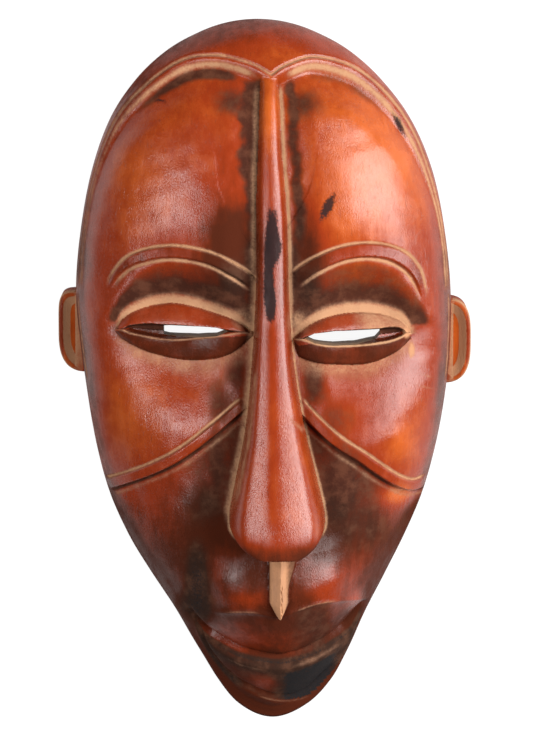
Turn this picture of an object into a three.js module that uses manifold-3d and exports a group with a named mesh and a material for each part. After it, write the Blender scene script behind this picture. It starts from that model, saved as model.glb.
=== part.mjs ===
// A carved wooden face mask with a high forehead, a long ridge running into the nose,
// arched brows, half-closed eyes cut through as slits, raised weals over the cheeks
// and small ears. It is carved from one block and hollow behind.
// Millimetres. The mask lies on the flat rim of its back: face up (+Z), crown toward +Y.

import * as THREE from 'three';
import Module from 'manifold-3d';

// Overall sizes
const HALF_LENGTH = 151.6;     // crown to chin is twice this
const HALF_WIDTH = 80.5;      // the head without the ears, before the hand-drawn outline
const SILL = 38;              // height of the side wall before it turns into the face
const FACE_TOP = 80;          // height of the plain dome under the features
const DOME_POWER = 2.2;       // how long the dome stays flat before it falls
const WALL_TAPER = 0.033;     // the wall draws in toward the rim by this share
const RIM_ROUND = 0.014;      // rounding of the outer rim edge, as a share of the width

// Outline of the head, half width and height up the face, from the crown down to the chin.
const HEAD_OUTLINE = [
  [24, 146.4], [39.8, 137.5], [52.7, 125.4], [64.5, 108.4], [72.8, 87], [78, 61.2],
  [80.4, 35.3], [79.5, 13.6], [77.1, -8.2], [73.4, -30], [67.6, -51.9], [60.2, -69.5],
  [50.7, -87.2], [41.2, -103.7], [32.2, -121.4], [24.6, -134.7], [15.4, -145.2],
];
// The carver's middle line wanders: it leans left at the crown and right at the chin.
const HEAD_LEAN = [[-150, 3.6], [-132, 4.5], [-105, 3], [-70, 0.9], [0, 0.8], [35, -0.4],
  [90, -1], [128, -2.5], [150, -2.9]];

// Hollow back
const HOLLOW_HALF_WIDTH = 70.5;
const HOLLOW_HALF_LENGTH = 138.6;
const HOLLOW_SILL = 26;       // height where the hollow's wall turns into its roof
const HOLLOW_TOP = 71;        // roof of the hollow under the plain dome
const HOLLOW_FLARE = 0.012;   // the hollow opens by this share toward the rim
const HOLLOW_CHIN = 0.16;     // and is narrower than the face by this share at the chin
const NOSE_HOLLOW = 0.75;     // how far the hollow follows the nose forward
const NOSE_HOLLOW_FROM = 87;  // where the crest stands higher than this
const NOSE_HOLLOW_WIDTH = 0.8; // and how wide, as a share of the nose
const NOSE_HOLLOW_END = [-84, -62];
const HOLLOW_CHIN_FROM_TO = [-50, -125]; // the narrowing grows between these heights
const HOLLOW_MOUTH = 0.8;     // share of the mouth part's swelling that the hollow follows
const BEHIND_MOUTH = { x: 6, y: -120, wide: 34, long: 16, rise: -4 }; // wood left under the mouth

// Hairline: one line on each side, meeting in a point over the ridge
const HAIRLINE_LEFT = [[3, 129.6], [-6, 134.2], [-20.7, 137.4], [-36, 134.6], [-52.3, 122.6],
  [-64.4, 107.6], [-73.3, 83.8], [-78, 55], [-79.3, 34]];
const HAIRLINE_RIGHT = [[3, 129.6], [9.5, 133.6], [21.3, 136.6], [38, 132], [52.9, 119.7],
  [64.9, 101.5], [73.3, 77], [77.5, 54], [78.9, 34]];
const HAIRLINE_DROP = 3.4;    // the forehead lies this much under the head band
const HAIRLINE_FADE = 0.8;    // share of the drop lost down the sides
const HAIRLINE_NARROWING = 0.7; // share of the cove's width lost down the sides
const HAIRLINE_SIDE = [25, 125]; // both over this stretch of the line
const HAIRLINE_ENDING = [-1, 12]; // the cove runs out over this distance from the line's end
const COVE_FROM = 1.6;        // the cove falls between these distances from its line
const COVE_TO = 6;
const COVE_END = 24;          // and rises again up to here, by this share of the drop
const COVE_RETURN = 0.85;

// Ridge and nose
const MIDDLE_LINE = [[-135, 6], [-100, 6.6], [-76, 6.3], [-60, 5.6], [-20, 4.7], [10, 3.6],
  [60, 3.3], [95, 2.4], [125, 2.1], [150, 1.6]];
const NOSE_HALF_WIDTH = [[-62, 20.4], [-54, 19.9], [-41, 17.2], [-24, 13.4], [-6.5, 10.5],
  [10, 8.6], [36, 6.9], [57, 6.5], [78, 6], [99, 4.8], [120, 4], [134, 3.2]];
const NOSE_CREST = [[-80, 102.6], [-68, 102.3], [-56, 100.4], [-40, 97], [-20, 93], [0, 89.2],
  [20, 85.6], [36, 83.2], [57, 80.4], [78, 77.2], [100, 72.4], [120, 65.6], [134, 57.6]];
const RIDGE_START = 134;
const RIDGE_RUN_IN = 4;
const NOSE_WIDEST_Y = -57;
const NOSE_BOTTOM_Y = -71.6;
const NOSE_BOTTOM_MARGIN = 0.4; // the outline closes this far below the bottom
const NOSE_CORNER_POWER = 2.6; // the nostril corners: 2 would be round, more is squarer
// The flanks along the nose: a larger power is steeper, under a wider roof.
const NOSE_SECTION_POWER = [[-60, 11], [20, 9], [130, 5]];
const NOSE_ROOF_SLOPE = 0.3;  // the roof falls this steeply to both sides
const NOSE_ROOF_ROUND = 0.27; // beyond a crest rounded over this share of the half width
const NOSE_CUT = 1.5;         // half the length over which the nose falls to the lip
// The ground beside the ridge lies this much under the dome.
const RIDGE_RECESS = [[-72, 1.5], [-50, 2], [-20, 4], [5, 6.5], [25, 7.5], [42, 5.5],
  [60, 3.8], [100, 3.4], [118, 2.6], [128, 1]];
const RECESS_WIDTH = 15;
const RECESS_ENDS = [[-74, -66], [122, 131]];

// Eyes
const SOCKET_DEPTH = 10.5;
const SOCKET_ABOVE = [0.42, 0.985]; // it slopes up between these shares of the way out, above
const SOCKET_BELOW = [0.05, 1.25]; // and below the eye
const SOCKET_CHANGE = [-8, 15]; // the one turns into the other between these heights
// A lid steps up at its edge by one share of its height, and swells up round by another.
const UPPER_LID = { height: 6, edge: 0.28, round: 0.72, turn: 1.445, over: 1.25 };
const LOWER_LID = { height: 5, edge: 0.22, round: 0.68, turn: 1.414, over: 1.2 };
const LID_EDGE_WIDTH = 1.4;
const LID_CORNER = 0.35;      // share of its height that a lid keeps at the corners
const LID_CORNER_POWER = 2.6;
const SLIT_VALLEY = 5;        // the valley between the lids is this deep
const VALLEY_SIDE = [-1.4, 0.4]; // where its sides rise, from the edge of the slit
const VALLEY_OPENING = [0.1, 1.8]; // half width of the slit at which it starts and is full
const LEFT_EYE = {
  brow: [[-66.2, 38.2], [-62.2, 45.6], [-54.5, 52.2], [-40, 55.8], [-24, 53.7], [-12.2, 48],
    [-3, 41.2]],
  browWidth: 4.3,
  socket: { x: -34.5, y: 20, halfWidth: 34.5, halfHeight: 34.5 },
  corners: [-63, -4.7],
  lidTop: [[-63, 21.2], [-59.8, 26.4], [-52.4, 30.8], [-38.5, 33.4], [-24, 30.7], [-12, 26.6],
    [-4.7, 20.6]],
  lidBottom: [[-63, 20.8], [-59.8, 17.4], [-48.3, 12], [-31.4, 9.2], [-14.5, 12.2], [-4.7, 19.6]],
  slitEnds: [-59.6, -8.5],
  slitTop: [[-59.6, 22.4], [-56.5, 24.1], [-42, 24.6], [-31, 24.3], [-12.3, 22.6], [-8.5, 21.8]],
  slitBottom: [[-59.6, 22], [-56.5, 20.7], [-41.8, 18.3], [-29.2, 19.1], [-12.3, 21.5],
    [-8.5, 21.7]],
  hole: [[-42.6, 23.8], [-40, 24.3], [-28, 24.3], [-20, 24], [-14.5, 22.4], [-20, 20.2],
    [-28, 19.4], [-40, 19.3], [-42.6, 19.8]],
  weal: [[-8.2, -8], [-13.6, -12.4], [-22.8, -20.1], [-31.3, -27], [-39.2, -32.5],
    [-47.5, -37.2], [-55.7, -41.2], [-62.5, -44.6], [-67.5, -47.2]],
};
const RIGHT_EYE = {
  brow: [[11.6, 43], [19.5, 49.4], [31, 54.7], [43, 56.4], [55, 53.8], [63.5, 46.4], [68.4, 33]],
  browWidth: 5.2,
  socket: { x: 39.5, y: 18, halfWidth: 33.5, halfHeight: 36.5 },
  corners: [12.2, 62.2],
  lidTop: [[12.2, 18.9], [21.4, 25.9], [32, 28.9], [44.6, 29.1], [56.5, 26], [60.4, 22.8],
    [62.2, 19.6]],
  lidBottom: [[12.2, 16.9], [15.1, 10.6], [32, 7.3], [44.7, 7.5], [56, 12], [62.2, 17.4]],
  slitEnds: [15.5, 60.5],
  slitTop: [[15.5, 19], [23.5, 21.3], [34, 22.2], [50, 22.6], [57, 22.4], [60.5, 20.4]],
  slitBottom: [[15.5, 18.8], [25.6, 16.4], [38.3, 15.9], [50.9, 16.8], [57, 18.4], [60.5, 20.2]],
  hole: [[17, 19], [21, 21.4], [30, 22.2], [48.6, 22.2], [49.2, 19.6], [47, 17.4], [38, 16],
    [29, 16], [21, 17.2]],
  weal: [[13.9, -7.8], [18.6, -13.2], [26.2, -20.5], [33.6, -26.4], [41.5, -31.8],
    [49.2, -38], [56.8, -43.5], [63.5, -46.4], [70, -45.6]],
};
const EYES = [LEFT_EYE, RIGHT_EYE];
const BROW_HEIGHT = 1.5;
const BROW_ENDS = [12, 7];    // it runs out over these lengths, outer and inner
const BROW_POINT = 0.35;      // share of its width at the outer end
const BROW_TAPER = 24;        // which is full from here on
const WEAL_WIDTH = 4.2;
const WEAL_HEIGHT = 1.3;
const WEAL_ENDS = [3, 4];
const WEAL_STEP = 2.6;        // the face below a weal lies this much lower
const WEAL_STEP_ENDS = [6, 10];
const WEAL_STEP_FADE = [4, 30]; // and comes back over these distances below the weal
const FIRM_EDGE = 0.8;        // half the width over which a carved edge rises
const HOLE_FROM = 45;         // the eye slits are cut straight through between these heights
const HOLE_TO = 90;

// Swellings: centre, half sizes and height of each
const SWELLINGS = [
  { x: 6, y: -96, wide: 34, long: 27, rise: 5.5 },     // the mouth part as a whole
  { x: -14.5, y: -87, wide: 12, long: 12, rise: 3.4 }, // beside the nose, left
  { x: 27, y: -87, wide: 12, long: 12, rise: 3.4 },    // beside the nose, right
];
const CHEEKS = [
  { x: -42, y: -18, wide: 20, long: 20, rise: 1.6 },
  { x: 46, y: -20, wide: 20, long: 20, rise: 1.6 },
];
const TEMPLES = [
  { x: -38, y: 92, wide: 26, long: 34, rise: 1.8 },
  { x: 42, y: 92, wide: 26, long: 34, rise: 1.8 },
];

// Mouth
const LIP_CREST = [[-31, -99], [-25, -99.1], [-15.2, -98.1], [-5, -97.5], [7, -99.3], [15, -96.5],
  [23.5, -94.2], [32.7, -94.2], [43, -96.5]];
const MOUTH_LINE = [[-31, -100], [-28.6, -107.5], [-25, -113], [-15, -118], [-7.7, -120.5],
  [6, -122.4], [13.1, -121.6], [19.8, -119.6], [28, -116], [37.5, -110.5], [43, -98]];
const LOWER_LIP = [[-31, -101.5], [-29.8, -107.9], [-24.1, -121.1], [-15.5, -132], [-9.2, -136.2],
  [-1.9, -139.8], [9, -142.3], [14.9, -142], [21, -139.7], [29.9, -130.2], [37, -118.5],
  [43, -102]];
const MOUTH_CORNERS = [[-34.5, -27], [37, 46]]; // the mouth fades out between these
const CREST_BEAD = { rise: 0.5, width: 1.6 };
const UPPER_LIP_SLOPE = 6;
const UPPER_LIP_POWER = 1.25;
const LIP_SOFTENING = [-27, -17]; // the crest turns round between here and the left corner
const SOFT_LIP_POWER = 2.6;
const LOWER_LIP_RISE = 4.2;   // over the first stretch below the mouth line
const LOWER_LIP_RISE_OVER = 4.8;
const LOWER_LIP_FALL = 2.6;   // and down again over the next
const LOWER_LIP_FALL_OVER = [3.5, 19];
const LIP_EDGE = 1.8;
const CHIN_RISE = 2.7;
const CHIN_RISE_OVER = 4.5;

// Keel under the nose
const KEEL = {
  x: 6.6, left: 4.5, right: 3.9, flare: 3.2, flareOver: [-88, -73], from: -69, shoulder: -92.5,
  tip: -100.3, point: 0.8, side: 2, roof: 3.8, edge: [0.8, 1.1], runOut: 2,
};

// Ears: lugs standing out from the side wall, each with a crescent cut in its face
// The upper and lower corner powers are 2 for a round corner and more for a square one.
const LEFT_EAR = { x: -76, y: 16.5, reach: 12.9, halfHeight: 17.5, side: -1, upper: 6, lower: 2.7 };
const RIGHT_EAR = { x: 76, y: 12.4, reach: 13.3, halfHeight: 18.3, side: 1, upper: 3.5, lower: 2.9 };
const EAR_ROOT = 2.5;         // how far the lug goes into the wall
const EAR_BACK = 12;
const EAR_FRONT = 31;
const EAR_BEVEL = 1.2;
const EAR_RIM = 2;            // the hollow in the ear starts this far inside its edge
const EAR_SLOPE = 3.2;        // and its wall slopes in by this on the way down
const EAR_INNER = 5.6;        // straight inner side of the hollow, from the ear's middle
const EAR_CUT = 2.8;
const EAR_STEPS = 18;

// How the surfaces lie on their round sheets
const FRONT = { face: 0.8, shoulder: 0.9, start: 0.88 }; // parts of the sheet: face, turn, wall
const BACK = { face: 0.72, shoulder: 0.86, start: 0.84 };
const RELIEF_FADE = [0.975, 1]; // the relief fades between these shares of the way out
const HOLLOW_FADE = [0.9, 1];
const DOME_EDGE = 0.985;      // the dome is followed up to here where its slope is read
const RIM_PART = 0.04;        // share of the wall's height that rounds into the rim
const TAPER_POWER = 1.2;
const STEEPEST = 1.6;         // the steepest slope that leans the fine carving over
const SLOPE_STEP = 0.5;

// Fineness of the faceted surfaces
const OUTER_CELLS = 256;
const OUTER_TOLERANCE = 0.08;
const OUTER_TRIANGLES = 7000;
const HOLLOW_CELLS = 128;
const HOLLOW_TOLERANCE = 0.15;
const HOLLOW_TRIANGLES = 1000;
const BORDER_SPACING = 8;
const LEAST_TURN = 0.3;       // a triangle may tilt only this far (cosine) in one step

const WOOD_COLOUR = 0x8a3a20;

// Small mathematics
const clamp = (value, low, high) => Math.min(high, Math.max(low, value));

function smooth(from, to, value) {
  const t = clamp((value - from) / (to - from), 0, 1);
  return t * t * (3 - 2 * t);
}

const bell = (value, width) => Math.exp(-((value / width) ** 2));

// A smooth line y(x) through stations given in rising x.
function curve(stations, level = false) {
  const last = stations.length - 1;
  const slopes = stations.map((_, i) => {
    const a = stations[Math.max(i - 1, 0)];
    const b = stations[Math.min(i + 1, last)];
    return (b[1] - a[1]) / (b[0] - a[0]);
  });
  if (level) {
    slopes[0] = 0;
    slopes[last] = 0;
  }
  return (value) => {
    const x = clamp(value, stations[0][0], stations[last][0]);
    let i = 0;
    while (i < last - 1 && x >= stations[i + 1][0]) i += 1;
    const step = stations[i + 1][0] - stations[i][0];
    return hermite(stations[i][1], stations[i + 1][1], slopes[i] * step, slopes[i + 1] * step,
      (x - stations[i][0]) / step);
  };
}

function hermite(a, b, slopeA, slopeB, t) {
  const cubic = 2 * (a - b) + slopeA + slopeB;
  const square = 3 * (b - a) - 2 * slopeA - slopeB;
  return a + t * (slopeA + t * (square + t * cubic));
}

// A carved line on the face; near() gives the distance, positive on the left of its run,
// and the length run so far.
class Stroke {
  constructor(stations, steps = 6) {
    const last = stations.length - 1;
    const tangent = (i, axis) => {
      const a = Math.max(i - 1, 0);
      const b = Math.min(i + 1, last);
      return (stations[b][axis] - stations[a][axis]) / (b - a);
    };
    this.points = [];
    for (let i = 0; i < last; i += 1) {
      for (let k = 0; k < steps; k += 1) {
        this.points.push([0, 1].map((axis) => hermite(stations[i][axis], stations[i + 1][axis],
          tangent(i, axis), tangent(i + 1, axis), k / steps)));
      }
    }
    this.points.push(stations[last]);
    this.run = [0];
    for (let i = 1; i < this.points.length; i += 1) {
      const [ax, ay] = this.points[i - 1];
      const [bx, by] = this.points[i];
      this.run.push(this.run[i - 1] + Math.hypot(bx - ax, by - ay));
    }
    this.length = this.run[this.run.length - 1];
  }

  near(x, y) {
    let best = Infinity;
    let side = 1;
    let along = 0;
    for (let i = 1; i < this.points.length; i += 1) {
      const [ax, ay] = this.points[i - 1];
      const dx = this.points[i][0] - ax;
      const dy = this.points[i][1] - ay;
      const t = clamp(((x - ax) * dx + (y - ay) * dy) / (dx * dx + dy * dy), 0, 1);
      const ex = x - ax - t * dx;
      const ey = y - ay - t * dy;
      const square = ex * ex + ey * ey;
      if (square < best) {
        best = square;
        side = dx * ey - dy * ex >= 0 ? 1 : -1;
        along = this.run[i - 1] + t * (this.run[i] - this.run[i - 1]);
      }
    }
    return { distance: Math.sqrt(best) * side, along };
  }
}

// Outline and dome
const outlineAngle = ([width, height]) => Math.atan2(height / HALF_LENGTH, width / HALF_WIDTH);
const outlineReach = ([width, height]) => Math.hypot(height / HALF_LENGTH, width / HALF_WIDTH);
const fullness = curve([
  [-Math.PI / 2, 1],
  ...[...HEAD_OUTLINE].reverse().map((station) => [outlineAngle(station), outlineReach(station)]),
  [Math.PI / 2, 1],
], true);
const lean = curve(HEAD_LEAN);

// How far out a place on the face is: 0 in the middle, 1 on the outline.
function spread(x, y) {
  const across = (x - lean(y)) / HALF_WIDTH;
  const up = y / HALF_LENGTH;
  return Math.hypot(across, up) / fullness(Math.atan2(up, Math.abs(across)));
}

function dome(share, low, high) {
  return low + (high - low) * Math.sqrt(Math.max(0, 1 - share ** DOME_POWER));
}

// Features
const middle = curve(MIDDLE_LINE);
const noseWidthLine = curve(NOSE_HALF_WIDTH);
const noseCrest = curve(NOSE_CREST);
const nosePower = curve(NOSE_SECTION_POWER);
const ridgeRecess = curve(RIDGE_RECESS);
const lipCrest = curve(LIP_CREST);
const mouthLine = curve(MOUTH_LINE);
const lowerLip = curve(LOWER_LIP);
const hairlines = [new Stroke(HAIRLINE_LEFT), new Stroke(HAIRLINE_RIGHT)];
const eyes = EYES.map((eye) => ({
  ...eye,
  browLine: new Stroke(eye.brow),
  wealLine: new Stroke(eye.weal),
  top: curve(eye.lidTop),
  bottom: curve(eye.lidBottom),
  slitUpper: curve(eye.slitTop),
  slitLower: curve(eye.slitBottom),
}));

function noseHalfWidth(y) {
  const end = NOSE_WIDEST_Y - NOSE_BOTTOM_Y + NOSE_BOTTOM_MARGIN;
  const closing = clamp((NOSE_WIDEST_Y - y) / end, 0, 1);
  const round = Math.max(1 - closing ** NOSE_CORNER_POWER, 0) ** (1 / NOSE_CORNER_POWER);
  return noseWidthLine(Math.max(y, NOSE_WIDEST_Y)) * round;
}

// The hollow in which an eye lies; deeper and longer toward the brow.
function socket(eye, x, y) {
  const { x: cx, y: cy, halfWidth, halfHeight } = eye.socket;
  const out = Math.hypot((x - cx) / halfWidth, (y - cy) / halfHeight);
  const upper = smooth(...SOCKET_CHANGE, y - cy);
  const [from, to] = SOCKET_ABOVE.map((above, k) => above * upper + SOCKET_BELOW[k] * (1 - upper));
  return -SOCKET_DEPTH * (1 - smooth(from, to, out));
}

function swell(list, x, y) {
  return list.reduce((sum, s) => sum + s.rise * bell(x - s.x, s.wide) * bell(y - s.y, s.long), 0);
}

function browBand(eye, x, y) {
  const { distance, along } = eye.browLine.near(x, y);
  const left = eye.browLine.length - along;
  const [outer, inner] = eye.socket.x < 0 ? [along, left] : [left, along];
  const half = (eye.browWidth / 2) * (BROW_POINT + (1 - BROW_POINT) * smooth(0, BROW_TAPER, outer));
  const ends = smooth(0, BROW_ENDS[0], outer) * smooth(0, BROW_ENDS[1], inner);
  return BROW_HEIGHT * (1 - smooth(half - FIRM_EDGE, half + FIRM_EDGE, Math.abs(distance))) * ends;
}

function lidSwell(lid, fromEdge, width) {
  const share = clamp(fromEdge / Math.max(width, 0.2), 0, lid.over);
  return (lid.edge * smooth(0, LID_EDGE_WIDTH, fromEdge) + lid.round * Math.sin(share * lid.turn))
    * lid.height;
}

// The two lids, each a swelling with a firm edge, and the valley between them.
function lids(eye, x, y) {
  const [from, to] = eye.corners;
  if (x <= from || x >= to) return 0;
  const top = eye.top(x);
  const bottom = eye.bottom(x);
  const upper = eye.slitUpper(x);
  const lower = eye.slitLower(x);
  const across = Math.abs(x - (from + to) / 2) / ((to - from) / 2);
  const envelope = LID_CORNER + (1 - LID_CORNER)
    * Math.sqrt(Math.max(0, 1 - across ** LID_CORNER_POWER));
  const parting = (upper + lower) / 2;
  let height = 0;
  if (y > parting && y < top) height = lidSwell(UPPER_LID, top - y, top - upper);
  else if (y <= parting && y > bottom) height = lidSwell(LOWER_LID, y - bottom, lower - bottom);
  const half = Math.max((upper - lower) / 2, 0);
  const [slitFrom, slitTo] = eye.slitEnds;
  const inSlit = smooth(slitFrom, slitFrom + 2, x) * (1 - smooth(slitTo - 3, slitTo, x));
  const valley = 1 - smooth(...VALLEY_SIDE, Math.abs(y - parting) - half);
  return height * envelope - SLIT_VALLEY * valley * inSlit * smooth(...VALLEY_OPENING, half);
}

function weal(eye, x, y) {
  const { distance, along } = eye.wealLine.near(x, y);
  const below = eye.socket.x < 0 ? distance : -distance;
  const half = WEAL_WIDTH / 2;
  const left = eye.wealLine.length - along;
  const ends = ([start, end]) => smooth(0, start, along) * smooth(0, end, left);
  const band = 1 - smooth(half - FIRM_EDGE, half + FIRM_EDGE, Math.abs(distance));
  const under = smooth(half - FIRM_EDGE, half + 1.5 * FIRM_EDGE, below)
    * (1 - smooth(half + WEAL_STEP_FADE[0], half + WEAL_STEP_FADE[1], below));
  return WEAL_HEIGHT * band * ends(WEAL_ENDS) - WEAL_STEP * under * ends(WEAL_STEP_ENDS);
}

function hairline(x, y) {
  const [left, right] = hairlines.map((line) => line.near(x, y));
  const onLeft = Math.abs(left.distance) < Math.abs(right.distance);
  const inward = onLeft ? left.distance : -right.distance;
  const along = onLeft ? left.along : right.along;
  const length = hairlines[onLeft ? 0 : 1].length;
  const downSide = smooth(...HAIRLINE_SIDE, along);
  const drop = HAIRLINE_DROP * (1 - HAIRLINE_FADE * downSide);
  const depth = inward / (1 - HAIRLINE_NARROWING * downSide);
  const cove = smooth(COVE_FROM, COVE_TO, depth);
  return -drop * cove * (1 - COVE_RETURN * smooth(COVE_TO, COVE_END, depth))
    * smooth(...HAIRLINE_ENDING, length - along);
}

function mouth(x, y) {
  const crest = lipCrest(x);
  const line = mouthLine(x);
  const edge = lowerLip(x);
  const [left, right] = MOUTH_CORNERS;
  const fade = smooth(...left, x) * (1 - smooth(...right, x));
  const firm = smooth(...LIP_SOFTENING, x);
  const power = SOFT_LIP_POWER + (UPPER_LIP_POWER - SOFT_LIP_POWER) * firm;
  const upper = CREST_BEAD.rise * bell(y - crest, CREST_BEAD.width) * firm
    - UPPER_LIP_SLOPE * clamp((crest - y) / Math.max(crest - line, 0.5), 0, 1) ** power;
  const lower = LOWER_LIP_RISE * smooth(0, LOWER_LIP_RISE_OVER, line - y)
    - LOWER_LIP_FALL * smooth(...LOWER_LIP_FALL_OVER, line - y);
  const chin = CHIN_RISE * smooth(0, CHIN_RISE_OVER, edge - y)
    - LIP_EDGE * smooth(-FIRM_EDGE, FIRM_EDGE, edge - y);
  return (upper + lower + chin) * fade;
}

// The keel from the nose down over the lip: two faces meeting in an edge, ending in a point;
// the right one widens toward the nose.
function keel(x, y) {
  if (y > KEEL.from || y < KEEL.tip) return 0;
  const closing = clamp((y - KEEL.tip) / (KEEL.shoulder - KEEL.tip), 0, 1) ** KEEL.point;
  const width = x < KEEL.x ? KEEL.left : KEEL.right + KEEL.flare * smooth(...KEEL.flareOver, y);
  const share = Math.abs(x - KEEL.x) / Math.max(width * closing, 0.05);
  const side = 1 - smooth(...KEEL.edge, share);
  return side * (KEEL.side + KEEL.roof * Math.max(0, 1 - share))
    * smooth(KEEL.tip, KEEL.tip + KEEL.runOut, y);
}

// The hollows of the face: the sockets and the ground beside the ridge.
function eyeAndRidgeGround(x, y) {
  const beside = Math.max(Math.abs(x - middle(y)) - noseHalfWidth(y), 0);
  const along = smooth(...RECESS_ENDS[0], y) * (1 - smooth(...RECESS_ENDS[1], y));
  const ground = ridgeRecess(y) * (1 - smooth(0, RECESS_WIDTH, beside)) * along;
  return eyes.reduce((sum, eye) => sum + socket(eye, x, y), 0) - ground;
}

function broadRelief(x, y) {
  return eyeAndRidgeGround(x, y) + swell([...SWELLINGS, ...CHEEKS, ...TEMPLES], x, y);
}

function fineRelief(x, y) {
  const aroundEyes = eyes.reduce((sum, eye) => sum + browBand(eye, x, y) + lids(eye, x, y)
    + weal(eye, x, y), 0);
  return aroundEyes + hairline(x, y) + mouth(x, y) + keel(x, y);
}

// The ridge and nose stand on the ground around them and run up to their own crest.
function withNose(x, y, ground) {
  const off = x - middle(y);
  const share = clamp(Math.abs(off) / Math.max(noseHalfWidth(y), 0.05), 0, 1);
  const round = NOSE_ROOF_ROUND * noseWidthLine(Math.max(y, NOSE_WIDEST_Y));
  const roof = NOSE_ROOF_SLOPE * (Math.hypot(off, round) - round);
  const cut = smooth(NOSE_BOTTOM_Y - NOSE_CUT, NOSE_BOTTOM_Y + NOSE_CUT, y);
  const start = 1 - smooth(RIDGE_START - RIDGE_RUN_IN, RIDGE_START, y);
  const crest = noseCrest(Math.max(y, NOSE_BOTTOM_Y)) - roof;
  const section = 1 - share ** nosePower(y);
  return ground + Math.max(crest - ground, 0) * section * cut * start;
}

// Surfaces over a round sheet: (0, 0) in the middle, radius 1 on the border

// Share of the way out at a radius of the sheet, slowing down through the shoulder.
function turn(radius, { face, shoulder, start }) {
  const half = DOME_POWER / 2;
  const first = Math.asin(start ** half);
  const along = clamp((radius - face) / (shoulder - face), 0, 1);
  const angle = first + (Math.PI / 2 - first) * along;
  return radius < face ? (radius * start) / face : Math.sin(angle) ** (1 / half);
}

// Place on a sheet: share of the way out, how far down the wall, and the direction's sine,
// cosine and fullness of the outline.
function sheetPlace(u, v, parts) {
  const radius = Math.hypot(u, v);
  const sine = radius > 0 ? v / radius : 0;
  const cosine = radius > 0 ? u / radius : 1;
  return {
    radius,
    share: turn(radius, parts),
    down: clamp((radius - parts.shoulder) / (1 - parts.shoulder), 0, 1),
    sine,
    cosine,
    full: fullness(Math.atan2(sine, Math.abs(cosine))),
  };
}

function plainHeight(x, y) {
  const share = spread(x, y);
  return dome(Math.min(share, DOME_EDGE), SILL, FACE_TOP)
    + broadRelief(x, y) * (1 - smooth(...RELIEF_FADE, share));
}

function outerPoint(u, v) {
  const { radius, share, down, sine, cosine, full } = sheetPlace(u, v, FRONT);
  const edge = Math.max(0, (down - (1 - RIM_PART)) / RIM_PART);
  const taper = 1 - WALL_TAPER * Math.min(down / (1 - RIM_PART), 1) ** TAPER_POWER;
  const rounding = 1 - RIM_ROUND * (1 - Math.sqrt(Math.max(0, 1 - edge * edge)));
  const scale = share * taper * rounding * full;
  const y = scale * sine * HALF_LENGTH;
  const x = scale * cosine * HALF_WIDTH + lean(y);
  const plain = radius < FRONT.shoulder ? dome(share, SILL, FACE_TOP) : SILL * (1 - down);
  const fade = 1 - smooth(...RELIEF_FADE, share);
  if (fade <= 0) return [x, y, plain];
  const slopes = [
    (plainHeight(x + SLOPE_STEP, y) - plainHeight(x - SLOPE_STEP, y)) / (2 * SLOPE_STEP),
    (plainHeight(x, y + SLOPE_STEP) - plainHeight(x, y - SLOPE_STEP)) / (2 * SLOPE_STEP),
  ];
  const limit = Math.min(1, STEEPEST / Math.max(Math.hypot(...slopes), 1e-6));
  const [sx, sy] = slopes.map((slope) => slope * limit);
  const rise = (fineRelief(x, y) * fade) / Math.hypot(sx, sy, 1);
  const px = x - sx * rise;
  const py = y - sy * rise;
  const pz = plain + broadRelief(x, y) * fade + rise;
  return [px, py, radius < FRONT.face ? withNose(px, py, pz) : pz];
}

// How far the hollow reaches forward behind the nose.
function noseHollow(x, y) {
  const width = noseHalfWidth(Math.max(y, NOSE_WIDEST_Y)) * NOSE_HOLLOW_WIDTH;
  const beside = clamp(Math.abs(x - middle(y)) / width, 0, 1);
  return Math.max(noseCrest(y) - NOSE_HOLLOW_FROM, 0) * NOSE_HOLLOW
    * (1 - smooth(0, 1, beside)) * smooth(...NOSE_HOLLOW_END, y);
}

// The hollow follows the face without its fine carving, a wall's thickness behind it.
function hollowPoint(u, v) {
  const { radius, share, down, sine, cosine, full } = sheetPlace(u, v, BACK);
  const scale = share * (1 + HOLLOW_FLARE * down) * full;
  const y = scale * sine * HOLLOW_HALF_LENGTH;
  const narrowing = 1 - HOLLOW_CHIN * smooth(...HOLLOW_CHIN_FROM_TO, y);
  const x = scale * cosine * HOLLOW_HALF_WIDTH * narrowing + lean(y);
  const plain = radius < BACK.shoulder ? dome(share, HOLLOW_SILL, HOLLOW_TOP)
    : HOLLOW_SILL * (1 - down);
  const relief = eyeAndRidgeGround(x, y) + HOLLOW_MOUTH * swell(SWELLINGS, x, y)
    + noseHollow(x, y) + swell([BEHIND_MOUTH], x, y);
  return [x, y, plain + relief * (1 - smooth(...HOLLOW_FADE, share))];
}

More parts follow.
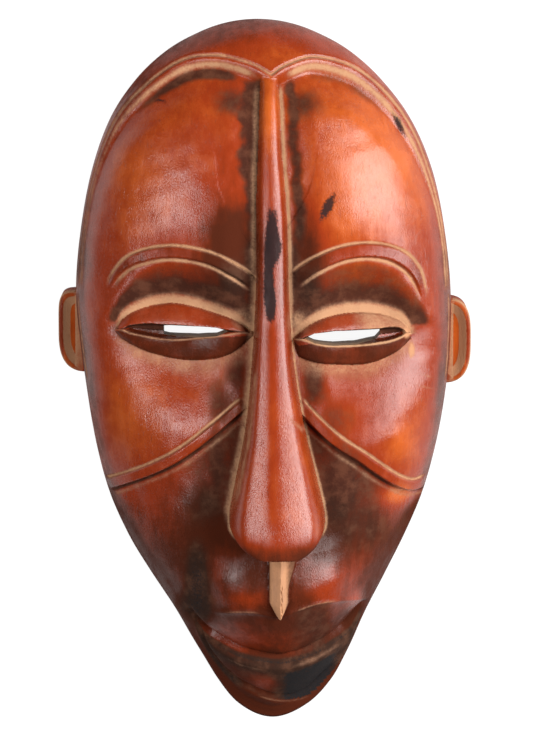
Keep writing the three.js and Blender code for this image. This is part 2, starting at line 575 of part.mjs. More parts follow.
// Adaptive triangles over a grid of cells, two square blocks high
class Sheet {
  constructor(pointAt, cells, tolerance, triangles) {
    this.cells = cells;
    this.rows = 2 * cells + 1;
    this.columns = cells + 1;
    this.points = [];
    for (let r = 0; r < this.rows; r += 1) {
      const b = (2 * r) / (this.rows - 1) - 1;
      for (let c = 0; c < this.columns; c += 1) {
        const a = (2 * c) / (this.columns - 1) - 1;
        this.points.push(pointAt(a * Math.sqrt(1 - (b * b) / 2), b * Math.sqrt(1 - (a * a) / 2)));
      }
    }
    this.error = new Float64Array(this.points.length);
    this.measure();
    this.corners = [];
    this.split(tolerance);
    const border = this.border();
    const posts = border.filter((place) => this.isPost(place));
    this.corners = new Thinning(this.points, this.corners, border, posts).down(triangles);
  }

  index(r, c) {
    return r * this.columns + c;
  }

  normal(r, c) {
    const at = (row, column) => this.points[this.index(
      clamp(row, 0, this.rows - 1), clamp(column, 0, this.columns - 1))];
    const across = new THREE.Vector3(...at(r, c + 1)).sub(new THREE.Vector3(...at(r, c - 1)));
    const up = new THREE.Vector3(...at(r + 1, c)).sub(new THREE.Vector3(...at(r - 1, c)));
    return across.cross(up).normalize();
  }

  // Border points that always stay.
  isPost(place) {
    const column = place % this.columns;
    const row = (place - column) / this.columns;
    return row % BORDER_SPACING === 0 && column % BORDER_SPACING === 0;
  }

  // Distance, along the surface normal, of a grid point from the middle of a chord.
  gap(r, c, r0, c0, r1, c1) {
    const p = this.points[this.index(r, c)];
    const a = this.points[this.index(r0, c0)];
    const b = this.points[this.index(r1, c1)];
    const off = new THREE.Vector3(...p.map((value, axis) => value - (a[axis] + b[axis]) / 2));
    return Math.abs(off.dot(this.normal(r, c)));
  }

  errorAt(r, c) {
    const outside = r < 0 || c < 0 || r >= this.rows || c >= this.columns;
    return outside ? 0 : this.error[this.index(r, c)];
  }

  edge(r, c, dr, dc, half) {
    let error = this.gap(r, c, r - dr, c - dc, r + dr, c + dc);
    if (half > 1) {
      const quarter = half / 2;
      for (const [i, j] of [[-1, -1], [-1, 1], [1, -1], [1, 1]]) {
        error = Math.max(error, this.errorAt(r + i * quarter, c + j * quarter));
      }
    }
    const onBorder = r === 0 || c === 0 || r === this.rows - 1 || c === this.columns - 1;
    this.error[this.index(r, c)] = onBorder && half >= BORDER_SPACING ? Infinity : error;
  }

  measure() {
    for (let size = 2; size <= this.cells; size *= 2) {
      const half = size / 2;
      for (let r = 0; r < this.rows; r += half) {
        const first = (r / half) % 2 === 0 ? half : 0;
        for (let c = first; c < this.columns; c += size) {
          if (first > 0) this.edge(r, c, 0, half, half);
          else this.edge(r, c, half, 0, half);
        }
      }
      for (let r = half; r < this.rows; r += size) {
        for (let c = half; c < this.columns; c += size) {
          const turnBack = ((r - half) / size + (c - half) / size) % 2 === 0 ? 1 : -1;
          let error = this.gap(r, c, r - half, c - half * turnBack, r + half, c + half * turnBack);
          for (const [i, j] of [[-half, 0], [half, 0], [0, -half], [0, half]]) {
            error = Math.max(error, this.errorAt(r + i, c + j));
          }
          this.error[this.index(r, c)] = error;
        }
      }
    }
  }

  split(tolerance) {
    const n = this.cells;
    const open = [
      [[0, 0], [n, n], [n, 0]],
      [[n, n], [0, 0], [0, n]],
      [[n, n], [2 * n, 0], [n, 0]],
      [[2 * n, 0], [n, n], [2 * n, n]],
    ];
    while (open.length > 0) {
      const [a, b, c] = open.pop();
      const reach = Math.max(Math.abs(a[0] - b[0]), Math.abs(a[1] - b[1]));
      const m = [(a[0] + b[0]) / 2, (a[1] + b[1]) / 2];
      if (reach > 1 && this.errorAt(...m) > tolerance) open.push([c, a, m], [b, c, m]);
      else this.corners.push([a, b, c].map((corner) => this.index(...corner)));
    }
  }

  // Used grid points around the border, counter-clockwise.
  border() {
    const used = new Set(this.corners.flat());
    const loop = [];
    const lastRow = this.rows - 1;
    const lastColumn = this.columns - 1;
    for (let c = 0; c < lastColumn; c += 1) loop.push(this.index(0, c));
    for (let r = 0; r < lastRow; r += 1) loop.push(this.index(r, lastColumn));
    for (let c = lastColumn; c > 0; c -= 1) loop.push(this.index(lastRow, c));
    for (let r = lastRow; r > 0; r -= 1) loop.push(this.index(r, 0));
    return loop.filter((place) => used.has(place));
  }
}

// Closed meshes
// Takes triangles out of a surface, always where that changes the shape least, by drawing
// one grid point into a neighbour. Border points move only along the border, posts never.
class Thinning {
  constructor(points, corners, border, posts) {
    this.points = points;
    this.triangles = corners.map((corner) => [...corner]);
    this.border = new Set(border);
    this.kept = new Set(posts);
    this.count = corners.length;
    this.around = new Map();
    this.shape = new Map();
    this.version = new Map();
    this.queue = [];
    this.triangles.forEach((triangle, number) => {
      const plane = this.plane(triangle);
      for (const place of triangle) {
        if (!this.around.has(place)) {
          this.around.set(place, new Set());
          this.shape.set(place, new Float64Array(10));
          this.version.set(place, 0);
        }
        this.around.get(place).add(number);
        this.addPlane(this.shape.get(place), plane);
      }
    });
    for (const place of this.around.keys()) this.offer(place);
  }

  plane(triangle) {
    const [a, b, c] = triangle.map((place) => new THREE.Vector3(...this.points[place]));
    const normal = b.sub(a).cross(c.sub(a));
    const area = normal.length() / 2;
    normal.normalize();
    return { normal, offset: -normal.dot(a), area };
  }

  addPlane(shape, { normal, offset, area }) {
    const row = [normal.x, normal.y, normal.z, offset];
    let k = 0;
    for (let i = 0; i < 4; i += 1) {
      for (let j = i; j < 4; j += 1) {
        shape[k] += row[i] * row[j] * area;
        k += 1;
      }
    }
  }

  cost(from, to) {
    const a = this.shape.get(from);
    const b = this.shape.get(to);
    const row = [...this.points[to], 1];
    let k = 0;
    let sum = 0;
    for (let i = 0; i < 4; i += 1) {
      for (let j = i; j < 4; j += 1) {
        sum += (i === j ? 1 : 2) * (a[k] + b[k]) * row[i] * row[j];
        k += 1;
      }
    }
    return sum;
  }

  neighbours(place) {
    const found = new Set();
    for (const number of this.around.get(place)) {
      for (const other of this.triangles[number]) if (other !== place) found.add(other);
    }
    return found;
  }

  offer(place) {
    if (this.kept.has(place)) return;
    let best = null;
    for (const other of this.neighbours(place)) {
      const cost = this.cost(place, other);
      if (best === null || cost < best.cost) best = { cost, place, other };
    }
    this.push({ ...best, version: this.version.get(place) });
  }

  push(entry) {
    const heap = this.queue;
    heap.push(entry);
    let i = heap.length - 1;
    while (i > 0) {
      const parent = (i - 1) >> 1;
      if (heap[parent].cost <= heap[i].cost) break;
      [heap[parent], heap[i]] = [heap[i], heap[parent]];
      i = parent;
    }
  }

  pop() {
    const heap = this.queue;
    const first = heap[0];
    const last = heap.pop();
    if (heap.length > 0) {
      heap[0] = last;
      let i = 0;
      for (;;) {
        let least = i;
        for (const child of [2 * i + 1, 2 * i + 2]) {
          if (child < heap.length && heap[child].cost < heap[least].cost) least = child;
        }
        if (least === i) break;
        [heap[least], heap[i]] = [heap[i], heap[least]];
        i = least;
      }
    }
    return first;
  }

  // A point may go only where the surface stays one sheet and no triangle turns over.
  allowed(place, other) {
    const shared = [...this.around.get(place)].filter((n) => this.triangles[n].includes(other));
    const near = this.neighbours(other);
    const common = [...this.neighbours(place)].filter((n) => near.has(n));
    const sides = this.border.has(place) ? 1 : 2;
    if (shared.length !== sides || common.length !== sides) return false;
    for (const number of this.around.get(place)) {
      const triangle = this.triangles[number];
      if (!triangle.includes(other)) {
        const before = this.plane(triangle);
        const after = this.plane(triangle.map((p) => (p === place ? other : p)));
        if (after.area < 1e-3 || before.normal.dot(after.normal) < LEAST_TURN) return false;
      }
    }
    return true;
  }

  draw(place, other) {
    for (const number of this.around.get(place)) {
      const triangle = this.triangles[number];
      if (triangle.includes(other)) {
        for (const p of triangle) if (p !== place) this.around.get(p).delete(number);
        this.triangles[number] = null;
        this.count -= 1;
      } else {
        triangle[triangle.indexOf(place)] = other;
        this.around.get(other).add(number);
      }
    }
    const into = this.shape.get(other);
    this.shape.get(place).forEach((value, k) => {
      into[k] += value;
    });
    this.around.delete(place);
    for (const touched of [other, ...this.neighbours(other)]) {
      this.version.set(touched, this.version.get(touched) + 1);
      this.offer(touched);
    }
  }

  down(target) {
    while (this.count > target && this.queue.length > 0) {
      const { place, other, version } = this.pop();
      const current = this.around.has(place) && this.version.get(place) === version;
      if (current && this.around.has(other)) {
        if (this.allowed(place, other)) this.draw(place, other);
        else this.offerNext(place, other);
      }
    }
    return this.triangles.filter((triangle) => triangle !== null);
  }

  // The cheapest neighbour was refused: try the others in turn.
  offerNext(place, refused) {
    const limit = this.cost(place, refused);
    let best = null;
    for (const other of this.neighbours(place)) {
      const cost = this.cost(place, other);
      if (other !== refused && cost > limit && (best === null || cost < best.cost)) {
        best = { cost, place, other, version: this.version.get(place) };
      }
    }
    if (best !== null) this.push(best);
  }
}

class Shell {
  constructor() {
    this.places = [];
    this.faces = [];
  }

  add(points) {
    const first = this.places.length / 3;
    for (const point of points) this.places.push(...point);
    return first;
  }

  solid(wasm) {
    const mesh = new wasm.Mesh({
      numProp: 3,
      vertProperties: new Float32Array(this.places),
      triVerts: new Uint32Array(this.faces),
    });
    return new wasm.Manifold(mesh);
  }
}

// The carved body: the outer sheet, the hollow turned over, and the flat rim between them.
function carvedBody(wasm) {
  const shell = new Shell();
  const outer = new Sheet(outerPoint, OUTER_CELLS, OUTER_TOLERANCE, OUTER_TRIANGLES);
  const hollow = new Sheet(hollowPoint, HOLLOW_CELLS, HOLLOW_TOLERANCE, HOLLOW_TRIANGLES);
  const numbered = (sheet) => {
    const used = [...new Set(sheet.corners.flat())];
    const first = shell.add(used.map((place) => sheet.points[place]));
    return new Map(used.map((place, i) => [place, first + i]));
  };
  const outerNumber = numbered(outer);
  const hollowNumber = numbered(hollow);
  for (const corners of outer.corners) {
    shell.faces.push(...corners.map((place) => outerNumber.get(place)));
  }
  for (const [a, b, c] of hollow.corners) {
    shell.faces.push(hollowNumber.get(a), hollowNumber.get(c), hollowNumber.get(b));
  }
  const outside = outer.border().map((place) => outerNumber.get(place));
  const inside = hollow.border().map((place) => hollowNumber.get(place));
  const share = (loop, i) => i / loop.length;
  let i = 0;
  let j = 0;
  while (i < outside.length || j < inside.length) {
    const a = outside[i % outside.length];
    const b = inside[j % inside.length];
    const outsideNext = j >= inside.length
      || (i < outside.length && share(outside, i + 1) <= share(inside, j + 1));
    if (outsideNext) {
      i += 1;
      shell.faces.push(a, b, outside[i % outside.length]);
    } else {
      j += 1;
      shell.faces.push(a, b, inside[j % inside.length]);
    }
  }
  return shell.solid(wasm);
}

// A solid with convex cross-sections: each layer is an outline at its own height.
function stacked(wasm, layers) {
  const shell = new Shell();
  const count = layers[0].points.length;
  const rings = layers.map(({ z, points }) => shell.add(points.map(([x, y]) => [x, y, z])));
  for (let k = 0; k + 1 < rings.length; k += 1) {
    for (let i = 0; i < count; i += 1) {
      const next = (i + 1) % count;
      const [a, b] = [rings[k] + i, rings[k] + next];
      const [c, d] = [rings[k + 1] + i, rings[k + 1] + next];
      shell.faces.push(a, b, d, a, d, c);
    }
  }
  for (let i = 1; i + 1 < count; i += 1) {
    const [low, high] = [rings[0], rings[rings.length - 1]];
    shell.faces.push(low, low + i + 1, low + i, high, high + i, high + i + 1);
  }
  return shell.solid(wasm);
}

// Outline of an ear seen from the front, drawn in by an inset, from a straight inner side
// that lies this far out from the ear's own middle; counter-clockwise.
function earOutline(ear, inset, innerSide) {
  const reach = ear.reach - inset;
  const end = (power) => Math.acos((innerSide / reach) ** (power / 2));
  const points = [];
  for (let k = 0; k <= EAR_STEPS; k += 1) {
    const angle = -end(ear.lower) + (end(ear.lower) + end(ear.upper)) * (k / EAR_STEPS);
    const power = angle > 0 ? ear.upper : ear.lower;
    const out = Math.max(Math.cos(angle), 0) ** (2 / power) * reach;
    const up = Math.sign(angle) * Math.abs(Math.sin(angle)) ** (2 / power);
    points.push([ear.x + ear.side * out, ear.y + up * (ear.halfHeight - inset)]);
  }
  return ear.side > 0 ? points : points.reverse();
}

// The lug, with a hollow in its face whose outer wall slopes.
function carvedEar(wasm, ear) {
  const root = -EAR_ROOT;
  const lug = stacked(wasm, [
    { z: EAR_BACK, points: earLug(ear, EAR_BEVEL, root) },
    { z: EAR_BACK + EAR_BEVEL, points: earLug(ear, 0, root) },
    { z: EAR_FRONT - EAR_BEVEL, points: earLug(ear, 0, root) },
    { z: EAR_FRONT, points: earLug(ear, EAR_BEVEL, root) },
  ]);
  const hollow = stacked(wasm, [
    { z: EAR_FRONT - EAR_CUT, points: earOutline(ear, EAR_RIM + EAR_SLOPE, EAR_INNER) },
    { z: EAR_FRONT + EAR_CUT, points: earOutline(ear, EAR_RIM - EAR_SLOPE, EAR_INNER) },
  ]);
  return lug.subtract(hollow);
}

// The lug's own outline goes on straight into the head's wall.
function earLug(ear, inset, root) {
  const points = earOutline(ear, inset, 0);
  const ends = [1, -1].map((up) => [ear.x + ear.side * root, ear.y + up * (ear.halfHeight - inset)]);
  return ear.side > 0 ? [...points, ...ends] : [...points, ...ends.reverse()];
}

function eyeSlit(wasm, eye) {
  const points = [...eye.hole].reverse();
  return stacked(wasm, [{ z: HOLE_FROM, points }, { z: HOLE_TO, points }]);
}

const wasm = await Module();
wasm.setup();

let body = carvedBody(wasm);
for (const eye of EYES) body = body.subtract(eyeSlit(wasm, eye));
for (const ear of [LEFT_EAR, RIGHT_EAR]) body = body.add(carvedEar(wasm, ear));

const carved = body.getMesh();
const geometry = new THREE.BufferGeometry();
geometry.setAttribute('position', new THREE.BufferAttribute(new Float32Array(carved.vertProperties), 3));
geometry.setIndex(new THREE.BufferAttribute(new Uint32Array(carved.triVerts), 1));
geometry.computeVertexNormals();

const mask = new THREE.Mesh(geometry, new THREE.MeshStandardMaterial({
  color: WOOD_COLOUR, roughness: 0.45, metalness: 0,
}));
mask.name = 'mask';

const part = new THREE.Group();
part.name = 'pwo mask';
part.add(mask);

export default part;
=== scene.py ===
"""Looks of a carved wooden face mask: waxed red-brown wood, dust in the cuts, hollow behind.

The mask lies face up on a bright table. Sizes of the carving are in millimetres, in the
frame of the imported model: +X to the viewer's right, +Y toward the crown, +Z out of the face.
"""

import logging
import math
from collections.abc import Callable, Sequence
from dataclasses import dataclass, field
from enum import Enum

import bpy
import numpy as np
from mathutils import Matrix, Vector


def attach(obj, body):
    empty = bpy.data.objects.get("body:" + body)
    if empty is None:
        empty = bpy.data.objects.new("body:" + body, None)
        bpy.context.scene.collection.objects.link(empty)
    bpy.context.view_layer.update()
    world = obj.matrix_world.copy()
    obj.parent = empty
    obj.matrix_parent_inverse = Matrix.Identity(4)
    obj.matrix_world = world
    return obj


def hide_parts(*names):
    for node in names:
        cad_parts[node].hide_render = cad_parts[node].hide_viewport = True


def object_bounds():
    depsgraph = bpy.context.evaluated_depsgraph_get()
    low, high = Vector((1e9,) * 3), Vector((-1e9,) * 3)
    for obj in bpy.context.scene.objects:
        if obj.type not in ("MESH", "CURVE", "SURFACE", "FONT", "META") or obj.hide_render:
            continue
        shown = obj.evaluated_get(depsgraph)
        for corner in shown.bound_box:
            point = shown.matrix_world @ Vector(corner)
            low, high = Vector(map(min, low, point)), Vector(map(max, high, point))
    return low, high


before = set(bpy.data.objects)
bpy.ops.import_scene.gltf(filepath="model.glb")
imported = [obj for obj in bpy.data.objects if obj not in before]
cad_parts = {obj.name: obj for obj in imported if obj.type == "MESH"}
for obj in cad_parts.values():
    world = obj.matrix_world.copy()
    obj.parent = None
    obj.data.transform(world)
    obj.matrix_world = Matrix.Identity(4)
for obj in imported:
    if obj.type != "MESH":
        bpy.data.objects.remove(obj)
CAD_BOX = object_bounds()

LOG = logging.getLogger("mask")
MM = 0.001
Array = np.ndarray
Stations = tuple[tuple[float, float], ...]


# Small mathematics
def smooth(start: float, end: float, value: Array) -> Array:
    """A soft step.

    Args:
        start: Value where the step begins; may be above end for a falling step.
        end: Value where it is complete.
        value: Where to read it.

    Returns:
        0 before start, 1 after end, with no corner between.
    """
    t = np.clip((value - start) / (end - start), 0.0, 1.0)
    return t * t * (3.0 - 2.0 * t)


def bell(value: Array, width: float) -> Array:
    """A hump of height 1 that has fallen to a third at width."""
    return np.exp(-((value / width) ** 2))


def patch(x: Array, y: Array, middle: tuple[float, float], half: tuple[float, float]) -> Array:
    """A soft oval spot.

    Args:
        x: Places across the face.
        y: Places up the face.
        middle: Middle of the spot.
        half: Its half sizes across and up.

    Returns:
        1 in the middle, falling softly outward.
    """
    return bell(x - middle[0], half[0]) * bell(y - middle[1], half[1])


def hermite(a: Array, b: Array, slope_a: Array, slope_b: Array, t: Array) -> Array:
    """The cubic from a to b with the given slopes, at t from 0 to 1."""
    cubic = 2 * (a - b) + slope_a + slope_b
    square = 3 * (b - a) - 2 * slope_a - slope_b
    return a + t * (slope_a + t * (square + t * cubic))


class Curve:
    """A smooth line y(x) through stations."""

    def __init__(self, stations: Sequence[tuple[float, float]], level_ends: bool = False) -> None:
        """Keeps the stations and works out the slopes.

        Args:
            stations: Pairs of x and y in rising x.
            level_ends: Whether the line runs level at both ends.
        """
        self.x = np.array([s[0] for s in stations], float)
        self.y = np.array([s[1] for s in stations], float)
        before = np.maximum(np.arange(len(self.x)) - 1, 0)
        after = np.minimum(np.arange(len(self.x)) + 1, len(self.x) - 1)
        self.slope = (self.y[after] - self.y[before]) / (self.x[after] - self.x[before])
        if level_ends:
            self.slope[[0, -1]] = 0.0

    def __call__(self, value: Array) -> Array:
        """The line's height at value, held level beyond its ends."""
        v = np.clip(value, self.x[0], self.x[-1])
        i = np.clip(np.searchsorted(self.x, v, side="right") - 1, 0, len(self.x) - 2)
        step = self.x[i + 1] - self.x[i]
        return hermite(
            self.y[i], self.y[i + 1], self.slope[i] * step, self.slope[i + 1] * step, (v - self.x[i]) / step
        )


class Stroke:
    """A line drawn over the face, to which distances are measured."""

    def __init__(self, stations: Sequence[tuple[float, float]], steps: int = 8) -> None:
        """Draws the line smoothly through its stations.

        Args:
            stations: Places it passes, from start to end.
            steps: Straight pieces between two stations.
        """
        p = np.array(stations, float)
        n = len(p)
        before = np.maximum(np.arange(n) - 1, 0)
        after = np.minimum(np.arange(n) + 1, n - 1)
        slope = (p[after] - p[before]) / (after - before)[:, None]
        rows = [
            hermite(p[i], p[i + 1], slope[i], slope[i + 1], k / steps)
            for i in range(n - 1) for k in range(steps)
        ]
        self.points = np.array([*rows, p[-1]])
        self.steps = np.hypot(*(self.points[1:] - self.points[:-1]).T)
        self.run = np.concatenate([[0.0], np.cumsum(self.steps)])
        self.length = float(self.run[-1])

    def near(self, x: Array, y: Array, reach: float) -> tuple[Array, Array]:
        """Distance to the line, positive on the left of its run, and the length run so far.

        Args:
            x: Places across the face.
            y: Places up the face.
            reach: Distance beyond which a place need not be measured.

        Returns:
            The distances, a large number where not measured, and the lengths along the line.
        """
        distance = np.full(x.shape, 1e6)
        along = np.zeros(x.shape)
        low, high = self.points.min(0) - reach, self.points.max(0) + reach
        close = (x > low[0]) & (x < high[0]) & (y > low[1]) & (y < high[1])
        px, py = x[close], y[close]
        best = np.full(px.shape, 1e12)
        side = np.ones(px.shape)
        run = np.zeros(px.shape)
        for k, length in enumerate(self.steps):
            (ax, ay), (bx, by) = self.points[k], self.points[k + 1]
            dx, dy = bx - ax, by - ay
            t = np.clip(((px - ax) * dx + (py - ay) * dy) / (length * length), 0.0, 1.0)
            ex, ey = px - ax - t * dx, py - ay - t * dy
            square = ex * ex + ey * ey
            nearer = square < best
            best = np.where(nearer, square, best)
            side = np.where(nearer, np.where(dx * ey - dy * ex >= 0, 1.0, -1.0), side)
            run = np.where(nearer, self.run[k] + t * length, run)
        distance[close] = np.sqrt(best) * side
        along[close] = run
        return distance, along


@dataclass(frozen=True)
class HandWaver:
    """The slow unevenness that a knife leaves: a few crossed waves of seeded direction."""

    size: float = 14.0
    height: float = 0.16
    waves: int = 14
    seed: int = 7

    def at(self, x: Array, y: Array) -> Array:
        """Height of the unevenness at places on the face."""
        rng = np.random.default_rng(self.seed)
        total = np.zeros(x.shape)
        for _ in range(self.waves):
            angle, phase = rng.uniform(0, 2 * math.pi, 2)
            length = self.size * rng.uniform(0.6, 2.2)
            along = (x * math.cos(angle) + y * math.sin(angle)) * 2 * math.pi / length
            total += np.sin(along + phase) * rng.uniform(0.4, 1.0)
        return total * self.height / math.sqrt(self.waves / 2)


@dataclass(frozen=True)
class Swelling:
    """A soft swelling of the wood."""

    x: float
    y: float
    wide: float
    long: float
    rise: float

    def at(self, x: Array, y: Array) -> Array:
        """Its height at places on the face."""
        return self.rise * patch(x, y, (self.x, self.y), (self.wide, self.long))


# The carving
@dataclass(frozen=True)
class Head:
    """The plain head: an oval outline, a side wall and a dome over it."""

    half_length: float = 151.6
    half_width: float = 80.5
    sill: float = 38.0
    face_top: float = 80.0
    dome_power: float = 2.2
    wall_taper: float = 0.033
    rim_round: float = 0.014
    outline: Stations = (
        (24, 146.4), (39.8, 137.5), (52.7, 125.4), (64.5, 108.4), (72.8, 87), (78, 61.2),
        (80.4, 35.3), (79.5, 13.6), (77.1, -8.2), (73.4, -30), (67.6, -51.9), (60.2, -69.5),
        (50.7, -87.2), (41.2, -103.7), (32.2, -121.4), (24.6, -134.7), (15.4, -145.2),
    )
    lean_stations: Stations = (
        (-150, 3.6), (-132, 4.5), (-105, 3), (-70, 0.9), (0, 0.8), (35, -0.4), (90, -1),
        (128, -2.5), (150, -2.9),
    )

    def __post_init__(self) -> None:
        """Draws the outline's fullness and the wandering middle line."""
        reach = [
            (math.atan2(up, out), math.hypot(up, out))
            for out, up in ((w / self.half_width, y / self.half_length) for w, y in reversed(self.outline))
        ]
        ends = ((-math.pi / 2, 1.0), (math.pi / 2, 1.0))
        object.__setattr__(self, "fullness", Curve([ends[0], *reach, ends[1]], level_ends=True))
        object.__setattr__(self, "lean", Curve(self.lean_stations))

    def spread(self, x: Array, y: Array) -> Array:
        """How far out a place is: 0 in the middle, 1 on the outline."""
        across, up = (x - self.lean(y)) / self.half_width, y / self.half_length
        return np.hypot(across, up) / self.fullness(np.arctan2(up, np.abs(across)))

    def dome(self, share: Array, low: float, high: float) -> Array:
        """Height of a dome between two heights, at a share of the way out."""
        return low + (high - low) * np.sqrt(np.maximum(0.0, 1.0 - share**self.dome_power))


@dataclass(frozen=True)
class Hairline:
    """The line round the forehead, inside which the wood drops in a cove."""

    left: Stations = (
        (3, 129.6), (-6, 134.2), (-20.7, 137.4), (-36, 134.6), (-52.3, 122.6), (-64.4, 107.6),
        (-73.3, 83.8), (-78, 55), (-79.3, 34),
    )
    right: Stations = (
        (3, 129.6), (9.5, 133.6), (21.3, 136.6), (38, 132), (52.9, 119.7), (64.9, 101.5),
        (73.3, 77), (77.5, 54), (78.9, 34),
    )
    drop: float = 3.4
    fade: float = 0.8
    narrowing: float = 0.7
    side: tuple[float, float] = (25, 125)
    cove: tuple[float, float, float] = (1.6, 6.0, 24.0)
    groove: float = 0.8

    def read(self, x: Array, y: Array) -> tuple[Array, Array, Array]:
        """Measures places against the nearer of the two lines.

        Args:
            x: Places across the face.
            y: Places up the face.

        Returns:
            Distance inside the line, length along it, and the length left to its end.
        """
        lines = Stroke(self.left), Stroke(self.right)
        (left, left_run), (right, right_run) = (line.near(x, y, 45.0) for line in lines)
        on_left = np.abs(left) < np.abs(right)
        inward = np.where(on_left, left, -right)
        run = np.where(on_left, left_run, right_run)
        return inward, run, np.where(on_left, lines[0].length, lines[1].length) - run

    def height(self, x: Array, y: Array) -> Array:
        """Relief of the groove, the bead beside it and the cove."""
        inward, run, left = self.read(x, y)
        down_side = smooth(*self.side, run)
        depth = inward / (1 - self.narrowing * down_side)
        start, foot, end = self.cove
        cove = self.drop * (1 - self.fade * down_side) * smooth(start, foot, depth)
        cove = cove * (1 - 0.85 * smooth(foot, end, depth))
        bead = 0.35 * bell(depth - 1.3, 0.7)
        return (bead - self.groove * bell(inward, 0.5) - cove) * smooth(-1, 12, left)


@dataclass(frozen=True)
class Nose:
    """The ridge down the forehead and the long nose that it becomes."""

    middle_stations: Stations = (
        (-135, 6), (-100, 6.6), (-76, 6.3), (-60, 5.6), (-20, 4.7), (10, 3.6), (60, 3.3),
        (95, 2.4), (125, 2.1), (150, 1.6),
    )
    width_stations: Stations = (
        (-62, 20.4), (-54, 19.9), (-41, 17.2), (-24, 13.4), (-6.5, 10.5), (10, 8.6), (36, 6.9),
        (57, 6.5), (78, 6), (99, 4.8), (120, 4), (134, 3.2),
    )
    crest_stations: Stations = (
        (-80, 102.6), (-68, 102.3), (-56, 100.4), (-40, 97), (-20, 93), (0, 89.2), (20, 85.6),
        (36, 83.2), (57, 80.4), (78, 77.2), (100, 72.4), (120, 65.6), (134, 57.6),
    )
    recess_stations: Stations = (
        (-72, 1.5), (-50, 2), (-20, 4), (5, 6.5), (25, 7.5), (42, 5.5), (60, 3.8), (100, 3.4),
        (118, 2.6), (128, 1),
    )
    widest: float = -57.0
    bottom: float = -71.6
    corner_power: float = 2.6
    power_stations: Stations = ((-60, 11), (20, 9), (130, 5))
    roof_slope: float = 0.3
    roof_round: float = 0.27
    cut: float = 0.9
    ridge_start: float = 134.0
    recess_width: float = 15.0

    def middle(self, y: Array) -> Array:
        """Where the crest runs, across the face."""
        return Curve(self.middle_stations)(y)

    def crest(self, y: Array) -> Array:
        """Height of the crest."""
        return Curve(self.crest_stations)(y)

    def half_width(self, y: Array) -> Array:
        """Half the width of the foot, closing below the nostrils."""
        closing = np.clip((self.widest - y) / (self.widest - self.bottom + 0.4), 0.0, 1.0)
        rounding = np.maximum(1 - closing**self.corner_power, 0.0) ** (1 / self.corner_power)
        return Curve(self.width_stations)(np.maximum(y, self.widest)) * rounding

    def beside(self, x: Array, y: Array) -> Array:
        """Distance outside the foot, positive to the right; 0 on the ridge."""
        off = x - self.middle(y)
        return np.sign(off) * np.maximum(np.abs(off) - self.half_width(y), 0.0)

    def ground(self, x: Array, y: Array) -> Array:
        """The lowered ground on both sides of the ridge."""
        depth = Curve(self.recess_stations)(y) * (1 - smooth(0, self.recess_width, np.abs(self.beside(x, y))))
        return -depth * smooth(-74, -66, y) * (1 - smooth(122, 131, y))

    def stand(self, x: Array, y: Array, ground: Array) -> Array:
        """Raises the ridge and nose from the ground to their crest.

        Args:
            x: Places across the face.
            y: Places up the face.
            ground: Heights without the nose.

        Returns:
            Heights with it.
        """
        off = x - self.middle(y)
        share = np.clip(np.abs(off) / np.maximum(self.half_width(y), 0.05), 0.0, 1.0)
        rounding = self.roof_round * Curve(self.width_stations)(np.maximum(y, self.widest))
        roof = self.roof_slope * (np.hypot(off, rounding) - rounding)
        below = smooth(self.bottom - self.cut, self.bottom + self.cut, y)
        start = 1 - smooth(self.ridge_start - 4, self.ridge_start, y)
        rise = np.maximum(self.crest(np.maximum(y, self.bottom)) - roof - ground, 0.0)
        return ground + rise * (1 - share ** Curve(self.power_stations)(y)) * below * start


